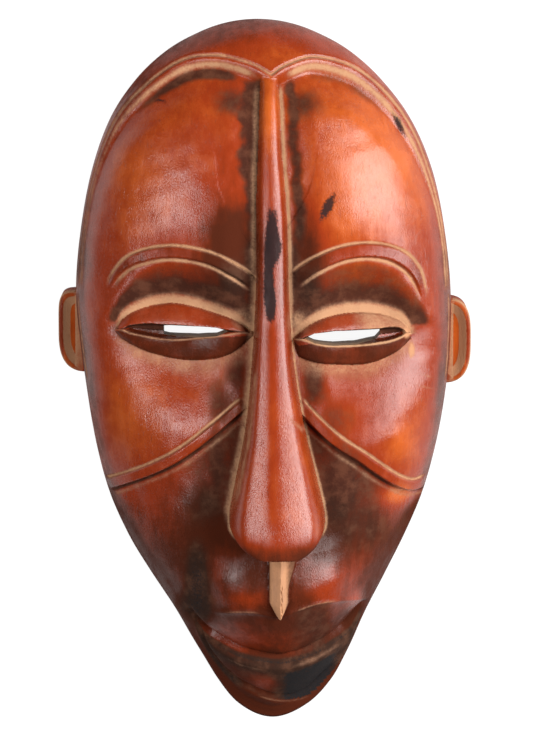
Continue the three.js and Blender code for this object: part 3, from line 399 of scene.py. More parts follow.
@dataclass(frozen=True)
class Eye:
    """One eye: its socket, arched brow, two lids parted by a slit, and the weal under it."""

    brow: Stations
    brow_width: float
    socket: tuple[float, float, float, float]
    corners: tuple[float, float]
    lid_top: Stations
    lid_bottom: Stations
    slit_ends: tuple[float, float]
    slit_top: Stations
    slit_bottom: Stations
    hole: Stations
    weal: Stations
    brow_height: float = 1.3
    socket_depth: float = 10.5
    lid_height: float = 6.0
    valley: float = 5.0
    weal_width: float = 4.2
    weal_height: float = 1.2
    weal_step: float = 2.6

    def socket_height(self, x: Array, y: Array) -> Array:
        """The hollow in which the eye lies, steeper toward the brow."""
        cx, cy, half_width, half_height = self.socket
        out = np.hypot((x - cx) / half_width, (y - cy) / half_height)
        upper = smooth(-8, 15, y - cy)
        inner, outer = 0.42 * upper + 0.05 * (1 - upper), 0.985 * upper + 1.25 * (1 - upper)
        t = np.clip((out - inner) / (outer - inner), 0.0, 1.0)
        return -self.socket_depth * (1 - t * t * (3 - 2 * t))

    def brow_read(self, x: Array, y: Array) -> tuple[Array, Array, Array]:
        """Distance above the middle of the brow, its half width and how present it is there."""
        line = Stroke(self.brow)
        distance, along = line.near(x, y, 25.0)
        left = line.length - along
        outer, inner = (along, left) if self.socket[0] < 0 else (left, along)
        half = self.brow_width / 2 * (0.35 + 0.65 * smooth(0, 24, outer))
        return distance, half, smooth(0, 12, outer) * smooth(0, 7, inner)

    def brow_height_at(self, x: Array, y: Array) -> Array:
        """The raised band of the brow between two cut lines."""
        distance, half, presence = self.brow_read(x, y)
        band = self.brow_height * (1 - smooth(half - 0.4, half + 0.5, np.abs(distance)))
        cuts = 0.55 * bell(np.abs(distance) - half - 0.55, 0.5)
        return (band - cuts) * presence

    def lid_lines(self, x: Array) -> tuple[Array, Array, Array, Array]:
        """Top and bottom of both lids and the two sides of the slit, at x."""
        return (
            Curve(self.lid_top)(x), Curve(self.lid_bottom)(x),
            Curve(self.slit_top)(x), Curve(self.slit_bottom)(x),
        )

    def lids_height(self, x: Array, y: Array) -> Array:
        """The swelling of each lid, with a firm edge, and the valley between the two."""
        start, end = self.corners
        top, bottom, upper, lower = self.lid_lines(x)
        across = np.minimum(np.abs(x - (start + end) / 2) / ((end - start) / 2), 1.0)
        envelope = 0.35 + 0.65 * np.sqrt(np.maximum(0.0, 1 - across**2.6))
        parting = (upper + lower) / 2
        high = np.clip((top - y) / np.maximum(top - upper, 0.2), 0.0, 1.25)
        low = np.clip((y - bottom) / np.maximum(lower - bottom, 0.2), 0.0, 1.2)
        upper_lid = (0.28 * smooth(0, 0.9, top - y) + 0.72 * np.sin(high * 1.445)) * self.lid_height
        lower_lid = (0.22 * smooth(0, 0.9, y - bottom) + 0.68 * np.sin(low * 1.414)) * (self.lid_height - 1)
        lid = np.where(y > parting, np.where(y < top, upper_lid, 0.0), np.where(y > bottom, lower_lid, 0.0))
        lid = np.where((x > start) & (x < end), lid * envelope, 0.0)
        half = np.maximum((upper - lower) / 2, 0.0)
        slit_start, slit_end = self.slit_ends
        inside = smooth(slit_start, slit_start + 1.4, x) * (1 - smooth(slit_end - 2.4, slit_end, x))
        cut = 1 - smooth(-1.2, 0.2, np.abs(y - parting) - half)
        return lid - self.valley * cut * inside * smooth(0.1, 1.6, half)

    def weal_read(self, x: Array, y: Array) -> tuple[Array, Array, Array]:
        """Distance above the middle of the weal, length along it and length left."""
        line = Stroke(self.weal)
        distance, along = line.near(x, y, 42.0)
        return distance * (1 if self.socket[0] > 0 else -1), along, line.length - along

    def weal_height_at(self, x: Array, y: Array) -> Array:
        """The raised weal, the cut above it and the lower ground below."""
        distance, along, left = self.weal_read(x, y)
        half = self.weal_width / 2
        band = self.weal_height * (1 - smooth(half - 0.5, half + 0.5, np.abs(distance)))
        cut = 0.5 * bell(distance - half - 0.5, 0.55)
        under = smooth(half - 0.5, half + 1.2, -distance) * (1 - smooth(half + 4, half + 30, -distance))
        ends = smooth(-0.5, 3, along) * smooth(-0.5, 4, left)
        return (band - cut) * ends - self.weal_step * under * smooth(-0.5, 6, along) * smooth(-0.5, 10, left)


LEFT_EYE = Eye(
    brow=((-66.2, 38.2), (-62.2, 45.6), (-54.5, 52.2), (-40, 55.8), (-24, 53.7), (-12.2, 48), (-3, 41.2)),
    brow_width=4.3,
    socket=(-34.5, 20, 34.5, 34.5),
    corners=(-63, -4.7),
    lid_top=(
        (-63, 21.2), (-59.8, 26.4), (-52.4, 30.8), (-38.5, 33.4), (-24, 30.7), (-12, 26.6), (-4.7, 20.6),
    ),
    lid_bottom=((-63, 20.8), (-59.8, 17.4), (-48.3, 12), (-31.4, 9.2), (-14.5, 12.2), (-4.7, 19.6)),
    slit_ends=(-59.6, -8.5),
    slit_top=((-59.6, 22.4), (-56.5, 24.1), (-42, 24.6), (-31, 24.3), (-12.3, 22.6), (-8.5, 21.8)),
    slit_bottom=((-59.6, 22), (-56.5, 20.7), (-41.8, 18.3), (-29.2, 19.1), (-12.3, 21.5), (-8.5, 21.7)),
    hole=(
        (-42.6, 23.8), (-40, 24.3), (-28, 24.3), (-20, 24), (-14.5, 22.4), (-20, 20.2), (-28, 19.4),
        (-40, 19.3), (-42.6, 19.8),
    ),
    weal=(
        (-8.2, -8), (-13.6, -12.4), (-22.8, -20.1), (-31.3, -27), (-39.2, -32.5), (-47.5, -37.2),
        (-55.7, -41.2), (-62.5, -44.6), (-67.5, -47.2),
    ),
)
RIGHT_EYE = Eye(
    brow=((11.6, 43), (19.5, 49.4), (31, 54.7), (43, 56.4), (55, 53.8), (63.5, 46.4), (68.4, 33)),
    brow_width=5.2,
    socket=(39.5, 18, 33.5, 36.5),
    corners=(12.2, 62.2),
    lid_top=((12.2, 18.9), (21.4, 25.9), (32, 28.9), (44.6, 29.1), (56.5, 26), (60.4, 22.8), (62.2, 19.6)),
    lid_bottom=((12.2, 16.9), (15.1, 10.6), (32, 7.3), (44.7, 7.5), (56, 12), (62.2, 17.4)),
    slit_ends=(15.5, 60.5),
    slit_top=((15.5, 19), (23.5, 21.3), (34, 22.2), (50, 22.6), (57, 22.4), (60.5, 20.4)),
    slit_bottom=((15.5, 18.8), (25.6, 16.4), (38.3, 15.9), (50.9, 16.8), (57, 18.4), (60.5, 20.2)),
    hole=(
        (17, 19), (21, 21.4), (30, 22.2), (48.6, 22.2), (49.2, 19.6), (47, 17.4), (38, 16), (29, 16),
        (21, 17.2),
    ),
    weal=(
        (13.9, -7.8), (18.6, -13.2), (26.2, -20.5), (33.6, -26.4), (41.5, -31.8), (49.2, -38),
        (56.8, -43.5), (63.5, -46.4), (70, -45.6),
    ),
)


@dataclass(frozen=True)
class Mouth:
    """The wide mouth: a sloping upper lip, a line, a full lower lip and the chin."""

    crest_stations: Stations = (
        (-31, -99), (-25, -99.1), (-15.2, -98.1), (-5, -97.5), (7, -99.3), (15, -96.5), (23.5, -94.2),
        (32.7, -94.2), (43, -96.5),
    )
    line_stations: Stations = (
        (-31, -100), (-28.6, -107.5), (-25, -113), (-15, -118), (-7.7, -120.5), (6, -122.4),
        (13.1, -121.6), (19.8, -119.6), (28, -116), (37.5, -110.5), (43, -98),
    )
    edge_stations: Stations = (
        (-31, -101.5), (-29.8, -107.9), (-24.1, -121.1), (-15.5, -132), (-9.2, -136.2), (-1.9, -139.8),
        (9, -142.3), (14.9, -142), (21, -139.7), (29.9, -130.2), (37, -118.5), (43, -102),
    )
    corners: tuple[tuple[float, float], tuple[float, float]] = ((-34.5, -27), (37, 46))
    softening: tuple[float, float] = (-27, -17)
    slope: float = 6.0
    rise: float = 4.2
    fall: float = 2.6
    edge_step: float = 1.8
    chin: float = 2.7

    def lines(self, x: Array) -> tuple[Array, Array, Array]:
        """Crest of the upper lip, mouth line and lower edge of the lower lip, at x."""
        return Curve(self.crest_stations)(x), Curve(self.line_stations)(x), Curve(self.edge_stations)(x)

    def presence(self, x: Array) -> Array:
        """How fully the mouth is carved, fading at its corners."""
        return smooth(*self.corners[0], x) * (1 - smooth(*self.corners[1], x))

    def height(self, x: Array, y: Array) -> Array:
        """Relief of both lips and the chin."""
        crest, line, edge = self.lines(x)
        down = np.clip((crest - y) / np.maximum(crest - line, 0.5), 0.0, 1.0)
        lip = self.rise * smooth(0, 4.6, line - y) - self.fall * smooth(3.5, 19, line - y)
        cut = -1.0 * bell(y - line - 0.2, 0.7)
        chin = self.chin * smooth(0, 4.5, edge - y) - self.edge_step * smooth(-0.6, 0.6, edge - y)
        firm = smooth(*self.softening, x)
        upper = 0.5 * bell(y - crest, 1.1) * firm - self.slope * down ** (2.6 - 1.35 * firm)
        return (upper + np.where(y < line, lip, 0.0) + cut + chin) * self.presence(x)


@dataclass(frozen=True)
class Keel:
    """The pale pointed keel from the nose down over the lip."""

    x: float = 6.6
    left: float = 4.5
    right: float = 3.9
    flare: float = 3.2
    start: float = -69.0
    shoulder: float = -92.5
    tip: float = -100.3
    side: float = 2.0
    roof: float = 3.8

    def share(self, x: Array, y: Array) -> Array:
        """Distance from the keel's edge line as a share of its half width there."""
        closing = np.clip((y - self.tip) / (self.shoulder - self.tip), 0.0, 1.0) ** 0.8
        width = np.where(x < self.x, self.left, self.right + self.flare * smooth(-88, -73, y))
        return np.abs(x - self.x) / np.maximum(width * closing, 0.05)

    def presence(self, x: Array, y: Array) -> Array:
        """1 on the keel, 0 off it."""
        on = (y < self.start) & (y > self.tip)
        return np.where(on, 1 - smooth(0.88, 1.05, self.share(x, y)), 0.0)

    def height(self, x: Array, y: Array) -> Array:
        """Two faces meeting in an edge, with a drying crack near it."""
        roof = self.side + self.roof * np.maximum(0.0, 1 - self.share(x, y))
        crack_at = self.x + 0.3 + 0.12 * np.sin(y * 1.3)
        crack = 0.9 * bell(x - crack_at, 0.2) * smooth(-83, -87, y)
        return self.presence(x, y) * (roof - crack) * smooth(self.tip, self.tip + 2, y)


@dataclass(frozen=True)
class Ear:
    """A small ear: a lug standing out from the side wall with a hollow in its face."""

    x: float
    y: float
    half_height: float
    side: int
    reach: float
    upper: float
    lower: float
    root: float = 2.5
    back: float = 12.0
    front: float = 31.0
    bevel: float = 1.2
    rim: float = 2.0
    slope: float = 3.2
    inner: float = 5.6
    depth: float = 2.8
    steps: int = 72

    def outline(self, inset: float, inner: float, z: float) -> Array:
        """A ring of points, drawn in by inset, whose inner side is straight.

        Args:
            inset: Distance inside the ear's edge.
            inner: Where the straight side lies, out from the ear's own middle.
            z: Height of the ring.

        Returns:
            Points in rows, bottom to top over the outer side.
        """
        reach = self.reach - inset
        ends = [math.acos((max(inner, 0.0) / reach) ** (power / 2)) for power in (self.lower, self.upper)]
        angle = np.linspace(-ends[0], ends[1], self.steps)
        power = 2 / np.where(angle > 0, self.upper, self.lower)
        out = np.maximum(np.cos(angle), 0.0) ** power * reach
        up = np.sign(angle) * np.abs(np.sin(angle)) ** power * (self.half_height - inset)
        if inner < 0:
            out = np.concatenate([[inner], out, [inner]])
            up = np.concatenate([up[:1], up, up[-1:]])
        return np.stack([self.x + self.side * out, self.y + up, np.full_like(up, z)], axis=1)

    def outer_rings(self) -> list[Array]:
        """Rings of the lug from its back over the rounded edge to its face."""
        b = self.bevel
        levels = [
            (b, self.back), (0.4 * b, self.back + 0.2 * b), (0.0, self.back + b), (0.0, self.front - b),
            (0.12 * b, self.front - 0.5 * b), (0.4 * b, self.front - 0.15 * b), (b, self.front),
        ]
        return [self.outline(inset, -self.root, z) for inset, z in levels]

    def hollow_rings(self) -> list[Array]:
        """Rings of the hollow in its face, from the floor up the sloping wall and out."""
        levels = [
            (self.rim + self.slope, self.front - self.depth),
            (self.rim + 0.94 * self.slope, self.front - 0.97 * self.depth),
            (self.rim + 0.08 * self.slope, self.front - 0.12 * self.depth),
            (self.rim - 0.15 * self.slope, self.front), (self.rim - 0.5 * self.slope, self.front + 1.0),
        ]
        return [self.outline(inset, self.inner, z) for inset, z in levels]


    def paint(self, channels: Array, x: Array, y: Array, z: Array) -> Array:
        """Lays this ear's own finish over the channels of the points on it.

        Args:
            channels: The four channels, warmth and dullness of every point, in rows.
            x: Places across the face.
            y: Places up the face.
            z: Heights.

        Returns:
            The channels with the ear in its own colours.
        """
        out = (x - self.x) * self.side
        here = (np.abs(y - self.y) < self.half_height + 0.5) & (out > 2.5)
        here = here & (z < self.front + 0.1) & (z > self.back - 0.1)
        floor = self.front - self.depth
        slope = smooth(floor, floor + 0.06, z) * (1 - smooth(self.front - 0.3, self.front - 0.05, z))
        slope = slope * (out > self.inner - 0.3)
        strip = 1 - smooth(self.inner - 0.4, self.inner + 0.2, out)
        strip = strip * smooth(self.front - 1, self.front - 0.2, z)
        inner_line = bell(out - self.inner, 0.35) * smooth(self.front - 0.6, self.front, z)
        face = smooth(floor - 0.3, floor - 0.1, z)
        dust = np.maximum.reduce([0.8 * slope, 0.45 * strip, 0.75 * inner_line])
        none = np.zeros_like(z)
        warm = 0.42 + 0.30 * face * (out < self.reach - self.rim)
        own = np.stack([dust, 0.35 * strip, none, none, warm, none], axis=1)
        return np.where(here[:, None], own, channels)


# The surfaces
@dataclass
class Carving:
    """Every feature of the face, and the two surfaces that bound the wood."""

    head: Head = field(default_factory=Head)
    hairline: Hairline = field(default_factory=Hairline)
    nose: Nose = field(default_factory=Nose)
    eyes: tuple[Eye, Eye] = (LEFT_EYE, RIGHT_EYE)
    mouth: Mouth = field(default_factory=Mouth)
    keel: Keel = field(default_factory=Keel)
    muzzle: tuple[Swelling, ...] = (
        Swelling(6, -96, 34, 27, 5.5), Swelling(-14.5, -87, 12, 12, 3.4), Swelling(27, -87, 12, 12, 3.4),
    )
    cheeks_and_temples: tuple[Swelling, ...] = (
        Swelling(-42, -18, 20, 20, 1.6), Swelling(46, -20, 20, 20, 1.6),
        Swelling(-38, 92, 26, 34, 1.8), Swelling(42, 92, 26, 34, 1.8),
    )
    waver: HandWaver = field(default_factory=HandWaver)
    hollow_half_width: float = 70.5
    hollow_half_length: float = 138.6
    hollow_sill: float = 26.0
    hollow_top: float = 71.0
    steepest: float = 1.6

    def hollows(self, x: Array, y: Array) -> Array:
        """The eye sockets and the ground beside the ridge."""
        return sum(eye.socket_height(x, y) for eye in self.eyes) + self.nose.ground(x, y)

    def broad(self, x: Array, y: Array) -> Array:
        """Every broad form that stands on the plain dome."""
        swellings = self.muzzle + self.cheeks_and_temples
        return self.hollows(x, y) + sum(s.at(x, y) for s in swellings)

    def fine(self, x: Array, y: Array) -> Array:
        """Every fine form, raised square to the surface."""
        eyes = sum(e.brow_height_at(x, y) + e.lids_height(x, y) + e.weal_height_at(x, y) for e in self.eyes)
        rest = self.hairline.height(x, y) + self.mouth.height(x, y) + self.keel.height(x, y)
        return eyes + rest + self.waver.at(x, y)

    def plain(self, x: Array, y: Array) -> Array:
        """Height of the dome with its broad forms."""
        share = self.head.spread(x, y)
        dome = self.head.dome(np.minimum(share, 0.985), self.head.sill, self.head.face_top)
        return dome + self.broad(x, y) * (1 - smooth(0.975, 1.0, share))

    @staticmethod
    def turn(radius: Array, start: float, end: float, share: float, power: float) -> Array:
        """Share of the way out at a sheet radius, slowing through the shoulder."""
        half = power / 2
        first = math.asin(share**half)
        angle = first + (math.pi / 2 - first) * np.clip((radius - start) / (end - start), 0.0, 1.0)
        return np.where(radius < start, radius * share / start, np.sin(angle) ** (1 / half))

    def outside(self, u: Array, v: Array) -> Array:
        """The outer surface over a round sheet.

        Args:
            u: Places across the sheet, from -1 to 1.
            v: Places up the sheet.

        Returns:
            Points of the surface, in the last axis.
        """
        h = self.head
        radius, angle = np.hypot(u, v), np.arctan2(v, u)
        share = self.turn(radius, 0.8, 0.9, 0.88, h.dome_power)
        down = np.clip((radius - 0.9) / 0.1, 0.0, 1.0)
        edge = np.maximum(0.0, (down - 0.96) / 0.04)
        taper = 1 - h.wall_taper * np.minimum(down / 0.96, 1.0) ** 1.2
        rounding = 1 - h.rim_round * (1 - np.sqrt(np.maximum(0.0, 1 - edge * edge)))
        scale = share * taper * rounding * h.fullness(np.arctan2(np.sin(angle), np.abs(np.cos(angle))))
        y = scale * np.sin(angle) * h.half_length
        x = scale * np.cos(angle) * h.half_width + h.lean(y)
        dome = h.dome(np.minimum(share, 1.0), h.sill, h.face_top)
        plain = np.where(radius < 0.9, dome, h.sill * (1 - down))
        fade = 1 - smooth(0.975, 1.0, share)
        step = 0.5
        slope_x = (self.plain(x + step, y) - self.plain(x - step, y)) / (2 * step)
        slope_y = (self.plain(x, y + step) - self.plain(x, y - step)) / (2 * step)
        limit = np.minimum(1.0, self.steepest / np.maximum(np.hypot(slope_x, slope_y), 1e-6))
        slope_x, slope_y = slope_x * limit, slope_y * limit
        rise = self.fine(x, y) * fade / np.sqrt(slope_x**2 + slope_y**2 + 1)
        x, y, z = x - slope_x * rise, y - slope_y * rise, plain + self.broad(x, y) * fade + rise
        return np.stack([x, y, np.where(radius < 0.8, self.nose.stand(x, y, z), z)], axis=-1)

    def inside(self, u: Array, v: Array) -> Array:
        """The hollow's surface over a round sheet, a wall's thickness behind the face.

        Args:
            u: Places across the sheet, from -1 to 1.
            v: Places up the sheet.

        Returns:
            Points of the surface, in the last axis.
        """
        radius, angle = np.hypot(u, v), np.arctan2(v, u)
        share = self.turn(radius, 0.72, 0.86, 0.84, self.head.dome_power)
        down = np.clip((radius - 0.86) / 0.14, 0.0, 1.0)
        fullness = self.head.fullness(np.arctan2(np.sin(angle), np.abs(np.cos(angle))))
        scale = share * (1 + 0.012 * down) * fullness
        y = scale * np.sin(angle) * self.hollow_half_length
        narrowing = 1 - 0.16 * smooth(-50, -125, y)
        x = scale * np.cos(angle) * self.hollow_half_width * narrowing + self.head.lean(y)
        dome = self.head.dome(np.minimum(share, 1.0), self.hollow_sill, self.hollow_top)
        plain = np.where(radius < 0.86, dome, self.hollow_sill * (1 - down))
        width = self.nose.half_width(np.maximum(y, self.nose.widest)) * 0.8
        beside = np.clip(np.abs(x - self.nose.middle(y)) / width, 0.0, 1.0)
        behind_nose = np.maximum(self.nose.crest(y) - 87, 0) * 0.75 * (1 - smooth(0, 1, beside))
        behind_nose = behind_nose * smooth(-84, -62, y)
        relief = self.hollows(x, y) + 0.8 * sum(s.at(x, y) for s in self.muzzle) + behind_nose
        relief = relief - 4 * patch(x, y, (6, -120), (34, 16))
        gouge = 0.5 * np.abs(np.sin(x * 0.42 + 0.9 * np.sin(y * 0.05)))
        gouge = gouge * np.abs(np.sin(y * 0.11 + 0.6 * np.sin(x * 0.09)))
        return np.stack([x, y, plain + (relief + gouge) * (1 - smooth(0.9, 1.0, share))], axis=-1)


class Layer(Enum):
    """The columns of the finish. Those before WARMTH are written as one colour. The dust column also carries
    painted highlights, the grime column painted shade, and the warmth column some painted highlights and
    shade.
    """

    DUST = 0
    GRIME = 1
    STAIN = 2
    BARE = 3
    WARMTH = 4
    DULLNESS = 5


@dataclass
class Wear:
    """Where dust, grime, stains and bare wood lie on the face, how warm the wood is, and where highlights and
    shade are painted in with them.
    """

    carving: Carving

    def hair_marks(self, x: Array, y: Array) -> tuple[Array, Array]:
        """Dust in the cove and its cut, and the dirt in the corner below."""
        line = self.carving.hairline
        inward, run, left = line.read(x, y)
        ends = smooth(-1, 8, left)
        narrow = 1 - line.narrowing * smooth(*line.side, run)
        full = np.where(x < 0, 0.80 - 0.2 * smooth(40, 90, run), 0.85)
        cove = bell(inward / narrow - 4.2, 1.8) * (full - 0.15 * smooth(30, 80, run)) * smooth(0, 12, run)
        cut = full * 0.85 * bell(inward - 0.2, 0.8) * (1 - 0.2 * smooth(60, 150, run))
        corner = bell(inward / narrow - 8.0, 2.6) * (0.45 + 0.5 * (x < 0))
        corner = corner * (1 - smooth(45, 85, run)) * smooth(8, 20, run)
        return np.maximum(cove, cut) * ends, corner * ends

    def eye_marks(self, eye: Eye, x: Array, y: Array) -> tuple[Array, Array]:
        """Dust along the brow and lids of an eye, a painted highlight on the upper lid, and grime in its
        socket.
        """
        distance, half, presence = eye.brow_read(x, y)
        presence = np.sqrt(presence)
        above = 0.80 * bell(distance - half - 0.7, 0.85) * presence
        below = 0.72 * bell(distance + half + 1.1, 1.0) * presence
        top, bottom, upper, lower = eye.lid_lines(x)
        first, last = eye.corners
        between = smooth(first - 5, first + 4, x) * (1 - smooth(last - 2, last + 5, x))
        tan = 0.78 if self.left(eye) else 0.94
        over_lid = np.where(y > top - 0.2, tan * (1 - smooth(1.0, 7.0, y - top)), 0.0) * between
        under_lid = np.where(y < bottom + 0.2, 0.48 * (1 - smooth(1.0, 12, bottom - y)), 0.0) * between
        cx, cy, half_width, half_height = eye.socket
        out = np.hypot((x - cx) / half_width, (y - cy) / half_height)
        socket = (1 - smooth(0.85, 1.0, out)) * smooth(2.0, 5.5, y - top)
        socket = socket * (0.42 + 0.5 * (1 - smooth(5, 17, y - top)))
        lids = np.where((y < lower) & (y > bottom), 0.22, 0.0) * between
        # Painted highlight on the upper lid, stronger over the outer part of the right lid; it is laid into
        # the dust channel.
        lit = 0.18 if self.left(eye) else 0.20 + 0.38 * smooth(34, 44, x)
        on_lid = np.where((y < top) & (y > upper), lit, 0.0) * between
        slit = np.where((y < upper + 0.3) & (y > (upper + lower) / 2), 0.8, 0.0) * between
        rim = (0.6 if self.left(eye) else 0.9) * bell(y - lower + 0.2, 0.6) * between
        dust = np.maximum.reduce([above, below, over_lid, under_lid, on_lid, rim])
        return dust, np.maximum.reduce([socket, lids, slit])

    @staticmethod
    def left(eye: Eye) -> bool:
        """Whether an eye is the left one in the picture."""
        return eye.socket[0] < 0

    def weal_marks(self, eye: Eye, x: Array, y: Array) -> tuple[Array, Array]:
        """Dust in the cut over a weal, and painted shade under it: a dark line below its lower edge and
        darker ground further down.
        """
        distance, along, left = eye.weal_read(x, y)
        half = eye.weal_width / 2
        ends = smooth(-1, 3, along) * smooth(-1, 3, left)
        above = 0.80 * bell(distance - half - 0.7, 0.8) * ends
        loose = 0.42 * bell(distance + half + 3.0, 1.1) * ends
        # Painted shade: a dark line just under the weal's lower edge, where the ground steps down.
        under = bell(distance + half + 0.9, 1.1) * ends
        # Painted shade: the lower ground below the weal, darker near it and weaker toward the outer sides,
        # most on the left.
        shade = smooth(half, half + 4, -distance) * (1 - smooth(22, 42, -distance)) * smooth(-8, 5, along)
        shade = shade * (0.15 + 0.85 * smooth(-44, -22, x) * (1 - 0.6 * smooth(42, 58, x)))
        return np.maximum(above, loose), np.maximum(0.8 * under, 0.62 * shade * smooth(-4, 6, left))

    def ridge_marks(self, x: Array, y: Array) -> tuple[Array, Array, Array]:
        """Dust along the foot of the ridge, grime in the ground beside it, and its stains."""
        nose = self.carving.nose
        beside = nose.beside(x, y)
        off = (np.abs(beside) > 0).astype(float)
        ragged = 1.6 * np.sin(y * 0.31 + 1.0) + 1.1 * np.sin(y * 0.83) + 0.6 * np.sin(y * 1.9 + x)
        up = smooth(50, 66, y) * (1 - smooth(124, 130, y))
        right_foot = 0.85 * bell(beside - 0.9, 1.1) * smooth(14, 40, y)
        foot = 0.75 * bell(np.abs(beside) - 0.5, 0.8) * smooth(-70, -62, y) * (1 - 0.6 * smooth(40, 60, y))
        left_foot = 0.60 * bell(-beside - 1.3, 1.6) * smooth(-64, -54, y)
        width = 4 + 5 * smooth(66, 100, y)
        left_ground = 1 - smooth(width - 3, width + 2, -beside + ragged * 0.5)
        right_ground = bell(beside - 5.5 + ragged * 0.3, 3.0)
        low_ground = 0.85 * bell(np.abs(beside) - 2.5, 3.4) * smooth(8, 26, y) * (1 - smooth(56, 70, y))
        ground = np.maximum(np.where(beside < 0, left_ground, right_ground) * up, low_ground)
        top_corner = (patch(x, y, (-13, 118), (9, 7)) + patch(x, y, (17, 117), (9, 7))) * 0.7
        inner = patch(x, y, (-13, 40), (11, 13)) * 0.8 + patch(x, y, (19, 38), (11, 13)) * 0.8
        nose_side = patch(x, y, (-12, 4), (6, 12)) * 0.7 + patch(x, y, (21, 0), (6, 13)) * 0.75
        under_weal = patch(x, y, (-20, -34), (6, 22)) * 0.85 + patch(x, y, (32, -45), (12, 20))
        corners = patch(x, y, (-9, 27), (5, 5)) * 0.6 + patch(x, y, (14.5, 26), (5, 6)) * 0.65
        dust = np.maximum.reduce([right_foot, foot, left_foot]) * off * (1 - smooth(120, 128, y))
        edge = bell(x - nose.middle(y) + nose.half_width(y) - 1.6, 1.3)
        edge = edge * smooth(14, 2, y) * smooth(-56, -44, y)
        dust = np.maximum.reduce([dust, corners, 0.5 * edge * (1 - off)])
        cheek = patch(x, y, (-18, -9), (8, 13)) * 0.7 + patch(x, y, (30, -16), (11, 14)) * 0.45
        grime = np.maximum.reduce([0.8 * ground, top_corner, inner, nose_side, under_weal, cheek])
        stain = (
            patch(x, y, (3.3, 67), (2.9, 9)) + patch(x, y, (3.9, 58), (3.6, 6))
            + patch(x, y, (1.8, 45), (2.5, 11)) + patch(x, y, (2.8, 34), (2.4, 7))
        )
        return dust, grime, stain

    def mouth_marks(self, x: Array, y: Array) -> tuple[Array, Array, Array]:
        """Painted highlights on the lips' crest and bevel, a pale rubbed lower edge, grime between the lips,
        and the black half of the lower lip.
        """
        mouth = self.carving.mouth
        crest, line, edge = mouth.lines(x)
        on = mouth.presence(x)
        on_crest = smooth(-19, -15, x) * (1 - smooth(-4, 0, x)) + smooth(12, 16, x) * (1 - smooth(28, 35, x))
        low = np.where((y < line) & (y > edge), 1.0, 0.0)
        bevel = bell(y - line + 2.6, 1.6)
        # Painted highlights along the upper lip's crest and both sides of the lower lip's bevel, and a pale
        # rubbed line along the lower lip's lower edge; all go into the dust channel.
        rubbed = np.maximum.reduce([
            0.42 * bell(y - crest, 0.55) * on_crest,
            0.34 * bevel * smooth(8, 16, x) * (1 - smooth(28, 38, x)),
            0.30 * bell(y - line + 4.2, 0.6) * smooth(-20, -14, x) * (1 - smooth(-4, 2, x)),
            0.36 * bell(y - edge + 0.6, 0.6) * smooth(-6, 2, x) * (1 - smooth(16, 24, x)),
        ])
        on_lip = 0.06 + 0.46 * smooth(4, 20, x) * (1 - 0.6 * smooth(24, 31, x))
        lip = np.where((y < crest) & (y > line), on_lip, 0.0)
        left_groove = bell(y - edge - 1.2, 2.6) * (1 - smooth(-14, -4, x))
        lower = low * (0.36 + 0.4 * bell(y - line + 3.5, 3.5) + 0.5 * smooth(2, 10, x))
        grime = np.maximum.reduce([lip, lower, bell(y - line, 1.5), 0.9 * left_groove])
        black = low * smooth(4, 11, x) * (1 - smooth(27, 37, x)) * smooth(3.4, 6.0, line - y)
        between_lips = 0.55 * bell(y - line + 0.3, 0.9) * smooth(-24, -16, x)
        stain = np.maximum.reduce([0.75 * black, between_lips, 0.45 * left_groove])
        return rubbed * on, grime * on, stain * on

    def warmth(self, x: Array, y: Array) -> Array:
        """How warm the wood is: 0 for the deep red, 1 for the worn orange. A few patches are painted
        highlights and painted shade instead.
        """
        head = (0.04 + 0.10 * smooth(-10, 40, x)) * smooth(122, 136, y)
        # Painted shade: the wood darkens toward the outline of the head.
        head = head - 0.25 * smooth(0.90, 0.98, self.carving.head.spread(x, y))
        # The warm patch on the right forehead is partly the wood's tone and partly painted light from the
        # right.
        forehead = 0.38 * patch(x, y, (44, 90), (32, 44)) + 0.12 * patch(x, y, (-44, 92), (30, 34))
        forehead = forehead + 0.14 * patch(x, y, (-58, 92), (12, 24))
        sides = 0.10 * patch(x, y, (62, -15), (10, 24)) + 0.20 * patch(x, y, (57, -28), (6, 8))
        sides = sides + 0.12 * patch(x, y, (-62, -12), (9, 34))
        ridge = 0.28 * patch(x, y, (2, 112), (3.6, 18))
        ridge = ridge + (0.10 * smooth(10, -30, y) - 0.38 * smooth(-60, -70, y)) * self.on_nose(x, y)
        low = -0.32 * smooth(-36, -74, y) * (1 - self.on_nose(x, y))
        low = low + 0.30 * patch(x, y, (-8, -92), (10, 4.5))
        low = low - 0.5 * patch(x, y, (-14, 57), (12, 24)) - 0.45 * patch(x, y, (18, 55), (9, 26))
        low = low - 0.30 * patch(x, y, (-24, -54), (9, 14)) + 0.16 * patch(x, y, (-12, -112), (16, 8))
        # Both patches here are painted highlights: beside the foot of the nose on the left, and beside the
        # upper lip on the right.
        low = low + 0.20 * patch(x, y, (-18, -77), (8, 14)) + 0.26 * patch(x, y, (27, -88), (9, 9))
        # The second patch here is a painted highlight on the left cheek.
        low = low - 0.22 * patch(x, y, (4, -124), (10, 6)) + 0.20 * patch(x, y, (-48, -14), (13, 18))
        for eye in self.carving.eyes:
            top, bottom, _, _ = eye.lid_lines(x)
            lower_lid = (y < (top + bottom) / 2) & (y > bottom) & (x > eye.corners[0]) & (x < eye.corners[1])
            distance, half, presence = eye.brow_read(x, y)
            on_brow = presence * smooth(half + 0.5, half - 0.5, np.abs(distance))
            low = low - np.where(lower_lid, 0.3, 0.0) - 0.14 * on_brow
        spots = 0.30 * patch(x, y, (0, -131), (6, 5)) + 0.26 * patch(x, y, (40, -96), (4, 5))
        spots = spots + 0.45 * patch(x, y, (57, -50), (8, 5))
        return np.clip(0.50 + head + forehead + sides + ridge + low + spots, 0.0, 1.0)

